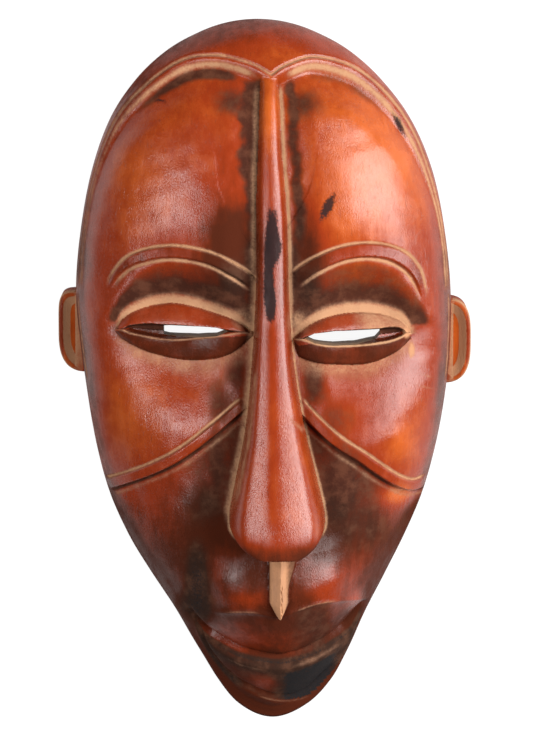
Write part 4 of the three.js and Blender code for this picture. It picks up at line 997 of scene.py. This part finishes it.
    def dullness(self, x: Array, y: Array) -> Array:
        """How far the wax is gone: 0 where the wood still shines, 1 where it is matt."""
        beside_ridge = 0.85 * patch(x, y, (-12, 82), (10, 42)) + 0.8 * patch(x, y, (20, 72), (9, 28))
        over_brows = 0.7 * patch(x, y, (-36, 57), (18, 10)) + 0.7 * patch(x, y, (37, 60), (19, 11))
        cheeks = 0.7 * patch(x, y, (36, -14), (18, 24)) + 0.7 * patch(x, y, (-64, -16), (9, 24))
        crest = 0.8 * bell(x - 3.4, 2.4) * smooth(34, 22, y) * smooth(-62, -52, y)
        tip = 0.9 * smooth(-58, -68, y) * self.on_nose(x, y)
        low = 0.85 * patch(x, y, (-17, -68), (11, 11)) + 0.6 * patch(x, y, (2, -120), (28, 20))
        band = 0.5 * patch(x, y, (-40, 124), (28, 14))
        return np.clip(beside_ridge + over_brows + cheeks + crest + tip + low + band, 0.0, 1.0)

    def on_nose(self, x: Array, y: Array) -> Array:
        """1 on the nose, 0 off it."""
        return np.where((self.carving.nose.beside(x, y) == 0) & (y > self.carving.nose.bottom), 1.0, 0.0)

    def channels(self, x: Array, y: Array) -> Array:
        """All finishes at places on the face.

        Args:
            x: Places across the face.
            y: Places up the face.

        Returns:
            The four channels, the warmth of the wood and its dullness, in the last axis.
        """
        keel = self.carving.keel
        dust, grime = self.hair_marks(x, y)
        for eye in self.carving.eyes:
            for marks in (self.eye_marks(eye, x, y), self.weal_marks(eye, x, y)):
                dust, grime = np.maximum(dust, marks[0]), np.maximum(grime, marks[1])
        ridge, lips = self.ridge_marks(x, y), self.mouth_marks(x, y)
        cheeks = patch(x, y, (-24, -50), (9, 15)) * 0.25 + patch(x, y, (38, -60), (20, 20)) * 0.55
        jaw = patch(x, y, (-28.5, -82), (6, 15)) + patch(x, y, (-29, -99), (9, 8)) * 0.8
        inward, run, left = self.carving.hairline.read(x, y)
        side_band = smooth(-0.4, -1.6, inward) * smooth(70, 110, run) * smooth(-1, 4, left)
        edge_line = bell(self.carving.head.spread(x, y) - 0.984, 0.006)
        edge_line = edge_line * smooth(-6, 2, y) * (1 - smooth(32, 38, y))
        wave = np.maximum(0.0, np.sin((y + 0.35 * (x - 69)) * 1.25))
        ripples = 0.42 * wave**3 * patch(x, y, (68.5, -1), (6, 9))
        # The dust channel here also takes painted highlights on the lids and lips, and the grime channel
        # painted shade under the weals.
        dust = np.maximum.reduce([dust, ridge[0], lips[0], 0.42 * side_band, 0.6 * edge_line, ripples])
        off_nose = 1 - self.on_nose(x, y)
        grime = np.maximum.reduce([grime, ridge[1], lips[1], cheeks, jaw, 0.4 * side_band]) * off_nose
        grime = grime * (1 - 0.9 * patch(x, y, (57, -50), (8, 5)))
        stain = np.maximum.reduce([
            ridge[2], lips[2], jaw * 0.5,
            bell(np.hypot((x - 26.5 - (y - 74.6) * 0.46) / 2.6, (y - 74.6) / 7.2), 1.0),
            bell(np.hypot((x - 57 + (y - 107.5) * 0.47) / 1.9, (y - 107.5) / 6.5), 1.0) * 0.9,
            patch(x, y, (-43.5, 118), (4, 1.6)) * 0.7,
        ])
        on_keel = keel.presence(x, y) * off_nose
        bare = np.maximum.reduce([
            on_keel, patch(x, y, (62.5, 12.5), (1.7, 4.2)), patch(x, y, (60.3, 20.6), (2.0, 3.2)),
            0.5 * patch(x, y, (58, -48), (6, 3.0)),
        ])
        keep = 1 - on_keel
        # Painted shade on the keel's right face: it goes into the grime channel and is taken off the bare
        # wood.
        shade = on_keel * 0.55 * smooth(7.0, 11.0, x)
        layers = [dust * keep, np.clip(grime, 0, 1) * keep + shade, stain * keep, bare - shade]
        layers = layers + [self.warmth(x, y), self.dullness(x, y)]
        return np.stack(layers, axis=-1)


# Meshes
class FineSheet:
    """Triangles over a grid two blocks high, small where the form or finish changes fast."""

    # An error that no tolerance allows, so that the points of a border are kept
    always = 1e9

    def __init__(self, surface: Callable[[Array, Array], Array], cells: int, tolerance: float,
                 finish: Callable[[Array, Array], Array] | None = None, finish_weight: float = 0.0) -> None:
        """Samples a surface and chooses its triangles.

        Args:
            surface: Gives points for places on a round sheet.
            cells: Cells across; a power of two.
            tolerance: Largest gap, in mm, that a triangle may leave.
            finish: Gives the finish channels at x and y, to be followed as the form is.
            finish_weight: Millimetres that a full change of finish counts for.
        """
        self.cells = cells
        rows, columns = np.linspace(-1, 1, 2 * cells + 1), np.linspace(-1, 1, cells + 1)
        a, b = np.meshgrid(columns, rows)
        self.points = surface(a * np.sqrt(1 - b * b / 2), b * np.sqrt(1 - a * a / 2))
        across, up = np.gradient(self.points, axis=1), np.gradient(self.points, axis=0)
        normal = np.cross(across, up)
        self.normal = normal / np.maximum(np.linalg.norm(normal, axis=2, keepdims=True), 1e-9)
        self.extra = None
        if finish is not None:
            self.extra = finish(self.points[..., 0], self.points[..., 1]) * finish_weight
        self.error = np.zeros(self.points.shape[:2])
        self._measure()
        self.corners = self._split(tolerance)

    def _gap(self, place: tuple[Array, Array], start: tuple[Array, Array], end: tuple[Array, Array]) -> Array:
        """How far grid points lie from the middle of a chord, in form and finish."""
        off = self.points[place] - (self.points[start] + self.points[end]) / 2
        gap = np.abs((off * self.normal[place]).sum(-1)) + 0.05 * np.linalg.norm(off, axis=-1)
        if self.extra is not None:
            change = np.abs(self.extra[place] - (self.extra[start] + self.extra[end]) / 2).max(-1)
            gap = np.maximum(gap, change)
        return gap

    def _worst(self, rows: Array, columns: Array, offsets: Sequence[tuple[int, int]], error: Array) -> Array:
        """The largest of an error and those of some neighbours inside the grid."""
        high, wide = self.error.shape
        for dr, dc in offsets:
            r, c = rows + dr, columns + dc
            inside = (r >= 0) & (r < high) & (c >= 0) & (c < wide)
            near = self.error[np.clip(r, 0, high - 1), np.clip(c, 0, wide - 1)]
            error = np.maximum(error, np.where(inside, near, 0.0))
        return error

    def _measure(self) -> None:
        """Works out, from fine to coarse, the error of leaving each grid point out."""
        high, wide = self.error.shape
        size = 2
        while size <= self.cells:
            h, q = size // 2, size // 4
            quarters = [(-q, -q), (-q, q), (q, -q), (q, q)] if q else []
            for r0, c0, dr, dc in ((0, h, 0, h), (h, 0, h, 0)):
                r, c = np.meshgrid(np.arange(r0, high, size), np.arange(c0, wide, size), indexing="ij")
                gap = self._gap((r, c), (r - dr, c - dc), (r + dr, c + dc))
                self.error[r, c] = self._worst(r, c, quarters, gap)
            if h >= 4:
                e = self.error
                for border in (e[::h, 0], e[::h, -1], e[0, ::h], e[-1, ::h]):
                    border[:] = self.always
            r, c = np.meshgrid(np.arange(h, high, size), np.arange(h, wide, size), indexing="ij")
            back = np.where(((r - h) // size + (c - h) // size) % 2 == 0, h, -h)
            gap = self._gap((r, c), (r - h, c - back), (r + h, c + back))
            self.error[r, c] = self._worst(r, c, [(-h, 0), (h, 0), (0, -h), (0, h)], gap)
            size *= 2

    def _split(self, tolerance: float) -> Array:
        """Halves triangles from the whole sheet down until each is within tolerance."""
        n = self.cells
        open_ones = np.array([
            [[0, 0], [n, n], [n, 0]], [[n, n], [0, 0], [0, n]],
            [[n, n], [2 * n, 0], [n, 0]], [[2 * n, 0], [n, n], [2 * n, n]],
        ])
        done = []
        while len(open_ones):
            a, b, c = open_ones[:, 0], open_ones[:, 1], open_ones[:, 2]
            m = (a + b) // 2
            split = (np.abs(a - b).max(1) > 1) & (self.error[m[:, 0], m[:, 1]] > tolerance)
            done.append(open_ones[~split])
            a, b, c, m = a[split], b[split], c[split], m[split]
            open_ones = np.concatenate([np.stack([c, a, m], 1), np.stack([b, c, m], 1)])
        corners = np.concatenate(done)
        return corners[..., 0] * (n + 1) + corners[..., 1]

    def border(self) -> Array:
        """Used grid points round the border, counter-clockwise."""
        high, wide = self.error.shape
        grid = np.arange(high * wide).reshape(high, wide)
        loop = np.concatenate([grid[0, :-1], grid[:-1, -1], grid[-1, :0:-1], grid[:0:-1, 0]])
        return loop[np.isin(loop, self.corners)]


def zip_loops(outer: Array, inner: Array) -> list[tuple[int, int, int]]:
    """Triangles of the band between two closed loops that run the same way.

    Args:
        outer: Point numbers of the outer loop.
        inner: Point numbers of the inner loop, starting beside the outer's start.

    Returns:
        Triangles of point numbers, facing down for loops that run counter-clockwise.
    """
    faces = []
    i = j = 0
    while i < len(outer) or j < len(inner):
        a, b = outer[i % len(outer)], inner[j % len(inner)]
        if j >= len(inner) or (i < len(outer) and (i + 1) / len(outer) <= (j + 1) / len(inner)):
            i += 1
            faces.append((a, b, outer[i % len(outer)]))
        else:
            j += 1
            faces.append((a, b, inner[j % len(inner)]))
    return faces


def new_mesh(name: str, points: Array, faces: Sequence[Sequence[int]]) -> bpy.types.Object:
    """Makes a mesh object from points in millimetres and faces, linked to the scene."""
    mesh = bpy.data.meshes.new(name)
    mesh.from_pydata((np.asarray(points) * MM).tolist(), [], [tuple(map(int, f)) for f in faces])
    mesh.update()
    thing = bpy.data.objects.new(name, mesh)
    bpy.context.collection.objects.link(thing)
    return thing


def lofted(name: str, rings: Sequence[Array], turned: bool = False) -> bpy.types.Object:
    """A closed solid through rings of equal count, capped at both ends.

    Args:
        name: The object's name.
        rings: Rings of points from the lowest to the last.
        turned: Whether the rings run clockwise seen from above.

    Returns:
        The new object.
    """
    count = len(rings[0])
    faces = []
    for k in range(len(rings) - 1):
        for i in range(count):
            n = (i + 1) % count
            faces.append((k * count + i, k * count + n, (k + 1) * count + n, (k + 1) * count + i))
    last = (len(rings) - 1) * count
    faces += [tuple(range(count - 1, -1, -1)), tuple(range(last, last + count))]
    if turned:
        faces = [tuple(reversed(face)) for face in faces]
    return new_mesh(name, np.concatenate(rings), faces)


class Joint(Enum):
    """How one solid meets another."""

    JOIN = "UNION"
    CUT = "DIFFERENCE"


def join_or_cut(body: bpy.types.Object, tool: bpy.types.Object, joint: Joint) -> None:
    """Joins a solid to a body or cuts it away, and removes the tool.

    Args:
        body: The object that is changed.
        tool: The solid that is used.
        joint: Whether the tool is added or taken away.
    """
    step = body.modifiers.new("step", "BOOLEAN")
    step.object = tool
    step.operation = joint.value
    step.solver = "MANIFOLD"
    step.material_mode = "TRANSFER"
    bpy.context.view_layer.update()
    result = bpy.data.meshes.new_from_object(body.evaluated_get(bpy.context.evaluated_depsgraph_get()))
    body.modifiers.clear()
    old, body.data = body.data, result
    bpy.data.meshes.remove(old)
    bpy.data.objects.remove(tool)


# Shader tools
class Sock:
    """A shader socket that can be calculated with."""

    def __init__(self, graph: "Graph", socket: bpy.types.NodeSocket) -> None:
        """Keeps the graph and the output socket."""
        self.graph = graph
        self.socket = socket

    def _math(self, operation: str, *values: "Sock | float") -> "Sock":
        """A Math node over values."""
        return self.graph.node("ShaderNodeMath", {"operation": operation}, dict(enumerate(values)))

    def __add__(self, other: "Sock | float") -> "Sock":
        """Sum."""
        return self._math("ADD", self, other)

    __radd__ = __add__

    def __sub__(self, other: "Sock | float") -> "Sock":
        """Difference."""
        return self._math("SUBTRACT", self, other)

    def __rsub__(self, other: "Sock | float") -> "Sock":
        """Difference from a number."""
        return self._math("SUBTRACT", other, self)

    def __mul__(self, other: "Sock | float") -> "Sock":
        """Product."""
        return self._math("MULTIPLY", self, other)

    __rmul__ = __mul__

    def __truediv__(self, other: "Sock | float") -> "Sock":
        """Quotient."""
        return self._math("DIVIDE", self, other)

    def __pow__(self, other: "Sock | float") -> "Sock":
        """Power."""
        return self._math("POWER", self, other)

    def max(self, other: "Sock | float") -> "Sock":
        """The larger of two."""
        return self._math("MAXIMUM", self, other)

    def min(self, other: "Sock | float") -> "Sock":
        """The smaller of two."""
        return self._math("MINIMUM", self, other)

    def step(self, start: float, end: float) -> "Sock":
        """A soft step from 0 at start to 1 at end."""
        settings = {"interpolation_type": "SMOOTHSTEP"}
        return self.graph.node("ShaderNodeMapRange", settings, {0: self, 1: start, 2: end, 3: 0.0, 4: 1.0})


class Graph:
    """The nodes of one material."""

    def __init__(self, name: str) -> None:
        """Starts a material with only its output."""
        self.material = bpy.data.materials.new(name)
        self.material.use_nodes = True
        self.tree = self.material.node_tree
        self.tree.nodes.clear()
        self.output = self.tree.nodes.new("ShaderNodeOutputMaterial")

    def node(self, kind: str, settings: dict[str, object] | None = None,
             inputs: dict[int | str, object] | None = None, out: int | str = 0) -> Sock:
        """Adds a node.

        Args:
            kind: The node's type.
            settings: Its properties, set before its sockets.
            inputs: Values or socket wrappers for its inputs, by number or name.
            out: Which output is wanted.

        Returns:
            That output, wrapped.
        """
        node = self.tree.nodes.new(kind)
        for key, value in (settings or {}).items():
            setattr(node, key, value)
        for key, value in (inputs or {}).items():
            if isinstance(value, Sock):
                self.tree.links.new(value.socket, node.inputs[key])
            else:
                node.inputs[key].default_value = value
        return Sock(self, node.outputs[out])

    def noise(self, place: Sock, scale: float, detail: float = 3.0, roughness: float = 0.5) -> Sock:
        """A noise value at a place, in cycles a metre."""
        inputs = {"Vector": place, "Scale": scale, "Detail": detail, "Roughness": roughness}
        return self.node("ShaderNodeTexNoise", {}, inputs)

    def stretched(self, place: Sock, stretch: tuple[float, float, float]) -> Sock:
        """A place multiplied axis by axis, so that what follows runs along the grain."""
        return self.node("ShaderNodeVectorMath", {"operation": "MULTIPLY"}, {0: place, 1: stretch})

    def blend(self, share: Sock | float, a: object, b: object) -> Sock:
        """A colour between a and b."""
        return self.node("ShaderNodeMix", {"data_type": "RGBA"}, {0: share, 6: a, 7: b}, out=2)


Colour = tuple[float, float, float, float]


def rgb(red: float, green: float, blue: float) -> Colour:
    """A plain colour in linear light."""
    return (red, green, blue, 1.0)


@dataclass(frozen=True)
class WaxedWood:
    """Old waxed red-brown wood with dust, grime and stains, and with painted highlights and shade, laid on it
    by attributes.
    """

    deep: Colour = rgb(0.056, 0.010, 0.003)
    body: Colour = rgb(0.210, 0.022, 0.003)
    glow: Colour = rgb(0.430, 0.082, 0.010)
    # The grime colours also paint the shade under the weals and on the keel.
    grime: Colour = rgb(0.022, 0.011, 0.007)
    grime_dry: Colour = rgb(0.064, 0.028, 0.016)
    # The dust colours also paint the highlights on the lids and lips.
    dust: Colour = rgb(0.400, 0.220, 0.120)
    dust_thin: Colour = rgb(0.280, 0.145, 0.090)
    stain: Colour = rgb(0.010, 0.010, 0.011)
    bare: Colour = rgb(0.440, 0.215, 0.110)

    def build(self) -> bpy.types.Material:
        """Makes the material."""
        g = Graph("waxed_wood")
        place = g.node("ShaderNodeTexCoord", out="Object")
        painted = g.node("ShaderNodeAttribute", {"attribute_name": "finish"}, out="Color")
        parts = [g.node("ShaderNodeSeparateColor", {}, {0: painted}, out=k) for k in range(3)]
        # The dust channel also holds painted highlights, and the grime channel painted shade.
        dust, grime, stain = parts
        bare = g.node("ShaderNodeAttribute", {"attribute_name": "finish"}, out="Alpha")
        warm = g.node("ShaderNodeAttribute", {"attribute_name": "warmth"}, out="Fac")
        dull = g.node("ShaderNodeAttribute", {"attribute_name": "dullness"}, out="Fac")
        along = g.stretched(place, (1.0, 0.16, 1.0))
        streaks = g.noise(along, 340, 5, 0.6)
        pores = g.noise(g.stretched(place, (1.0, 0.07, 1.0)), 1500, 2, 0.5).step(0.62, 0.74)
        clouds = g.noise(place, 28, 4, 0.55)
        mottle = g.noise(place, 130, 5, 0.65)
        speck = g.noise(place, 1100, 3, 0.6)
        grit = g.noise(g.stretched(place, (1.0, 0.45, 1.0)), 2400, 2, 0.5)

        tone = warm + (clouds - 0.5) * 0.55 + (mottle - 0.5) * 0.30 + (streaks - 0.5) * 0.25
        colour = g.blend(tone.step(0.12, 0.55), self.deep, self.body)
        colour = g.blend(tone.step(0.48, 0.98), colour, self.glow)
        colour = g.blend(pores * 0.25, colour, self.deep)

        # This darkening also covers the painted shade held in the grime channel.
        dirt = grime * 1.25 + (mottle - 0.5) * 0.9 * grime.step(0.0, 0.4) + (speck - 0.5) * 0.3 * grime
        dirt = dirt.step(0.18, 0.95)
        dirt_colour = g.blend(mottle.step(0.42, 0.66), self.grime, self.grime_dry)
        colour = g.blend(dirt * 0.88, colour, dirt_colour)

        # This cover takes dust and the painted highlights alike.
        powder = dust * 1.2 + (mottle - 0.5) * 0.7 * dust.step(0.0, 0.3)
        powder = (powder + (speck - 0.5) * 0.5 * dust.step(0.05, 0.5)).step(0.1, 1.0)
        powder_colour = g.blend((powder * 0.6 + streaks * 0.5).step(0.3, 0.9), self.dust_thin, self.dust)
        colour = g.blend(powder * 0.9, colour, powder_colour)

        worn = (bare + (speck - 0.5) * 0.3 * bare).step(0.3, 0.8)
        bare_colour = g.blend(streaks.step(0.35, 0.7) * 0.5, self.bare, self.dust_thin)
        colour = g.blend(worn, colour, bare_colour)
        near_stain = stain.step(0.0, 0.3)
        black = stain + (speck - 0.5) * 0.8 * near_stain + (mottle - 0.5) * 0.5 * near_stain
        black = black.step(0.35, 0.75)
        colour = g.blend(black * 0.92, colour, self.stain)

        low_wall = 1 - g.node("ShaderNodeSeparateXYZ", {}, {0: place}, out=2).step(0.030, 0.052)
        unpolished = 1 - warm.step(0.05, 0.42)
        covered = powder + dirt * 0.9 + low_wall * 0.7 + unpolished * 0.6 + black * 0.7 + worn * 0.8
        dry = (covered + dull * 1.1 + 0.10 - (mottle - 0.5) * 0.5 - (streaks - 0.5) * 0.4).step(0.0, 1.0)
        sheen = 0.27 + (mottle - 0.5) * 0.16 + (streaks - 0.5) * 0.10
        relief = (speck - 0.5) * (0.25 + powder * 0.9 + dirt * 0.35) + (streaks - 0.5) * 0.5
        relief = relief + (mottle - 0.5) * 0.6 + (grit - 0.5) * 0.6 - pores * 0.2
        bump = g.node("ShaderNodeBump", {}, {"Strength": 0.5, "Distance": 0.00035, "Height": relief})
        waxed = g.node("ShaderNodeBsdfPrincipled", {}, {
            "Base Color": colour, "Roughness": sheen, "Normal": bump, "Specular IOR Level": 0.50, "IOR": 1.48,
        })
        matt = g.node("ShaderNodeBsdfPrincipled", {}, {
            "Base Color": colour, "Roughness": 0.85, "Normal": bump, "Specular IOR Level": 0.08, "IOR": 1.48,
        })
        shader = g.node("ShaderNodeMixShader", {}, {0: dry, 1: waxed, 2: matt})
        g.tree.links.new(shader.socket, g.output.inputs["Surface"])
        return g.material


@dataclass(frozen=True)
class HollowWood:
    """Bare, darkened wood of the hollow with gouge marks."""

    dark: Colour = rgb(0.055, 0.026, 0.013)
    light: Colour = rgb(0.200, 0.105, 0.052)
    rubbed: Colour = rgb(0.300, 0.175, 0.095)

    def build(self) -> bpy.types.Material:
        """Makes the material."""
        g = Graph("hollow_wood")
        place = g.node("ShaderNodeTexCoord", out="Object")
        grain = g.noise(g.stretched(place, (1.0, 0.14, 1.0)), 420, 5, 0.6)
        clouds = g.noise(place, 34, 4, 0.6)
        speck = g.noise(place, 900, 3, 0.6)
        colour = g.blend((clouds * 0.6 + grain * 0.4).step(0.3, 0.7), self.dark, self.light)
        height = g.node("ShaderNodeSeparateXYZ", {}, {0: place}, out=2)
        rim = 1 - height.step(0.0005, 0.004)
        colour = g.blend(rim * speck.step(0.3, 0.6) * 0.7, colour, self.rubbed)
        colour = g.blend(height.step(0.060, 0.068) * (0.4 + grain * 0.6), colour, self.rubbed)
        relief = (grain - 0.5) * 0.8 + (speck - 0.5) * 0.35
        bump = g.node("ShaderNodeBump", {}, {"Strength": 0.7, "Distance": 0.0006, "Height": relief})
        rough = 0.72 + (clouds - 0.5) * 0.2 - rim * 0.12
        shader = g.node("ShaderNodeBsdfPrincipled", {}, {
            "Base Color": colour, "Roughness": rough, "Normal": bump, "Specular IOR Level": 0.35,
        })
        g.tree.links.new(shader.socket, g.output.inputs["Surface"])
        return g.material


@dataclass(frozen=True)
class BrightTable:
    """A light table: a pale pane lit from below, as white as the ground of the picture."""

    pane: Colour = rgb(0.13, 0.13, 0.13)
    glow: float = 0.93

    def build(self) -> bpy.types.Material:
        """Makes the material."""
        g = Graph("bright_table")
        place = g.node("ShaderNodeTexCoord", out="Object")
        fibre = g.noise(place, 240, 4, 0.6)
        colour = g.blend(fibre.step(0.3, 0.7), rgb(0.10, 0.10, 0.10), self.pane)
        shader = g.node("ShaderNodeBsdfPrincipled", {}, {
            "Base Color": colour, "Roughness": 0.9, "Emission Color": rgb(1.0, 1.0, 1.0),
            "Emission Strength": self.glow,
        })
        g.tree.links.new(shader.socket, g.output.inputs["Surface"])
        return g.material


# The piece and its stage
# Metres above the table that the lights are turned to
MIDDLE_HEIGHT = 0.05


@dataclass
class MaskPiece:
    """The whole mask as one carved piece of wood."""

    carving: Carving
    ears: tuple[Ear, ...] = (
        Ear(-76, 16.5, 17.5, -1, reach=12.9, upper=6.0, lower=2.7),
        Ear(76, 12.4, 18.3, 1, reach=13.3, upper=3.5, lower=2.9),
    )
    cells: int = 512
    tolerance: float = 0.03
    finish_weight: float = 0.22
    hollow_cells: int = 256
    hollow_tolerance: float = 0.07
    slit_from: float = 45.0
    slit_to: float = 90.0
    wall_top: tuple[float, float] = (28.0, 36.0)
    wall_warmth: float = 0.36
    sharp_angle: float = 52.0

    def body(self) -> bpy.types.Object:
        """The wood between the outer surface, the hollow and the flat rim."""
        wear = Wear(self.carving)
        coarse = 1
        outer = FineSheet(
            self.carving.outside, self.cells // coarse, self.tolerance, wear.channels, self.finish_weight
        )
        hollow = FineSheet(self.carving.inside, self.hollow_cells // coarse, self.hollow_tolerance)
        points, faces, loops, first = [], [], [], 0
        for sheet, flip in ((outer, False), (hollow, True)):
            used, numbers = np.unique(sheet.corners, return_inverse=True)
            numbers = numbers.reshape(-1, 3) + first
            faces.append(numbers[:, ::-1] if flip else numbers)
            loops.append(np.searchsorted(used, sheet.border()) + first)
            points.append(sheet.points.reshape(-1, 3)[used])
            first += len(used)
        rim = np.array(zip_loops(loops[0], loops[1]))
        low, high = np.array(CAD_BOX) / MM
        inside_box = np.clip(np.concatenate(points), low, high)
        body = new_mesh("carved_mask", inside_box, np.concatenate([*faces, rim]))
        inner = np.zeros(sum(len(f) for f in faces) + len(rim), np.int32)
        inner[len(faces[0]):] = 1
        for material in (WaxedWood().build(), HollowWood().build()):
            body.data.materials.append(material)
        body.data.polygons.foreach_set("material_index", inner)
        counts = (len(faces[0]), len(faces[1]), len(rim))
        LOG.info("carved_mask: %d outer, %d hollow and %d rim triangles", *counts)
        return body

    def add_ears(self, body: bpy.types.Object) -> None:
        """Joins both ears, each with the hollow in its face, to the head."""
        for ear in self.ears:
            both = (ear.outer_rings(), ear.hollow_rings())
            solids = [lofted(f"ear_{k}", rings, ear.side < 0) for k, rings in enumerate(both)]
            for solid in solids:
                solid.data.materials.append(body.data.materials[0])
            join_or_cut(solids[0], solids[1], Joint.CUT)
            join_or_cut(body, solids[0], Joint.JOIN)

    def cut_slits(self, body: bpy.types.Object) -> None:
        """Cuts both eye slits straight through."""
        for eye in self.carving.eyes:
            outline = np.array(eye.hole[::-1], float)
            ends = [
                np.column_stack([outline, np.full(len(outline), z)]) for z in (self.slit_from, self.slit_to)
            ]
            cutter = lofted("slit", ends)
            cutter.data.materials.append(body.data.materials[1])
            join_or_cut(body, cutter, Joint.CUT)

    def paint(self, body: bpy.types.Object) -> None:
        """Writes the finish channels, the warmth and the dullness to the vertices."""
        mesh = body.data
        places = np.empty(len(mesh.vertices) * 3)
        mesh.vertices.foreach_get("co", places)
        x, y, z = places.reshape(-1, 3).T / MM
        channels = Wear(self.carving).channels(x, y)
        on_wall = 1 - smooth(*self.wall_top, z)
        warmth, dullness = Layer.WARMTH.value, Layer.DULLNESS.value
        channels[:, :warmth] *= (1 - on_wall)[:, None]
        channels[:, warmth] += (self.wall_warmth - channels[:, warmth]) * on_wall
        channels[:, dullness] *= 1 - on_wall
        for ear in self.ears:
            channels = ear.paint(channels, x, y, z)
        painted = mesh.attributes.new("finish", "FLOAT_COLOR", "POINT")
        painted.data.foreach_set("color", np.ascontiguousarray(channels[:, :warmth], np.float32).ravel())
        for layer in (Layer.WARMTH, Layer.DULLNESS):
            values = mesh.attributes.new(layer.name.lower(), "FLOAT", "POINT")
            values.data.foreach_set("value", np.ascontiguousarray(channels[:, layer.value], np.float32))

    def build(self) -> bpy.types.Object:
        """Makes the piece, dresses it and puts it on its body."""
        body = self.body()
        self.add_ears(body)
        self.cut_slits(body)
        self.paint(body)
        body.data.shade_smooth()
        body.data.set_sharp_from_angle(angle=math.radians(self.sharp_angle))
        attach(body, "root")
        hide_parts("mask")
        LOG.info("carved_mask: %d faces", len(body.data.polygons))
        return body


@dataclass(frozen=True)
class Softbox:
    """A soft light by its direction from the mask."""

    name: str
    side_angle: float
    up_angle: float
    distance: float
    size: tuple[float, float]
    watts: float

    def place(self) -> tuple[float, float, float]:
        """Where the light stands."""
        side, up = math.radians(self.side_angle), math.radians(self.up_angle)
        flat = math.cos(up) * self.distance
        return (flat * math.sin(side), math.sin(up) * self.distance, flat * math.cos(side) + MIDDLE_HEIGHT)


@dataclass
class Stage:
    """The table, the lights and the camera."""

    table_half: float = 3.0
    tilt: float = 8.0
    distance: float = 1.6
    frame_width: int = 533
    frame_height: int = 735
    picture_scale: float = 0.000430
    aim: tuple[float, float, float] = (0.00096, 0.0022, 0.040)
    surround: float = 0.030
    softboxes: tuple[Softbox, ...] = (
        Softbox("left_box", -30, 2, 1.25, (0.36, 0.75), 12.0),
        Softbox("right_box", 48, 13, 1.20, (0.92, 0.95), 34.0),
    )

    def table(self) -> bpy.types.Object:
        """The bright table under the mask."""
        h = self.table_half / MM
        top = new_mesh("table", np.array([(-h, -h, 0), (h, -h, 0), (h, h, 0), (-h, h, 0)]), [(0, 1, 2, 3)])
        top.data.materials.append(BrightTable().build())
        return top

    def softbox(self, box: Softbox) -> None:
        """A large soft light turned to the mask.

        Args:
            box: Its place, size and power.
        """
        light = bpy.data.lights.new(box.name, "AREA")
        light.shape = "RECTANGLE"
        light.size, light.size_y = box.size
        light.energy = box.watts
        lamp = bpy.data.objects.new(box.name, light)
        bpy.context.collection.objects.link(lamp)
        place = box.place()
        toward = (Vector((0, 0, MIDDLE_HEIGHT)) - Vector(place)).normalized()
        across = Vector((0, 1, 0)).cross(-toward).normalized()
        turned = Matrix((across, (-toward).cross(across), -toward)).transposed().to_4x4()
        lamp.matrix_world = Matrix.Translation(place) @ turned

    def lights(self) -> None:
        """A tall softbox on the left, a broad one on the right and an even surround."""
        for box in self.softboxes:
            self.softbox(box)
        world = bpy.data.worlds.new("surround")
        bpy.context.scene.world = world
        world.use_nodes = True
        back = world.node_tree.nodes["Background"]
        back.inputs["Color"].default_value = rgb(1.0, 1.0, 1.0)
        back.inputs["Strength"].default_value = self.surround

    def camera(self) -> None:
        """A long lens looking down on the lying mask, a little from the crown's side."""
        tilt = math.radians(self.tilt)
        back = Vector((0.0, math.sin(tilt), math.cos(tilt)))
        right = Vector((1.0, 0.0, 0.0))
        data = bpy.data.cameras.new("camera")
        data.sensor_width = 36.0
        data.lens = 36.0 * self.distance / self.picture_scale / max(self.frame_width, self.frame_height)
        viewer = bpy.data.objects.new("camera", data)
        bpy.context.collection.objects.link(viewer)
        viewer.matrix_world = Matrix.Translation(Vector(self.aim) + back * self.distance) @ Matrix(
            (right, back.cross(right), back)
        ).transposed().to_4x4()
        bpy.context.scene.camera = viewer
        bpy.context.scene.view_settings.view_transform = "Standard"

    def build(self) -> None:
        """Sets up table, lights and camera."""
        self.table()
        self.lights()
        self.camera()
        LOG.info("stage: table, two lights and camera")


def plain(box: Sequence[Sequence[float]]) -> list[list[float]]:
    """A box as plain lists of numbers."""
    return [[float(v) for v in corner] for corner in box]


def main() -> None:
    """Builds the mask and its stage."""
    logging.basicConfig(level=logging.INFO, format="%(message)s")
    Stage().build()
    MaskPiece(Carving()).build()


if __name__ == "__main__":
    main()
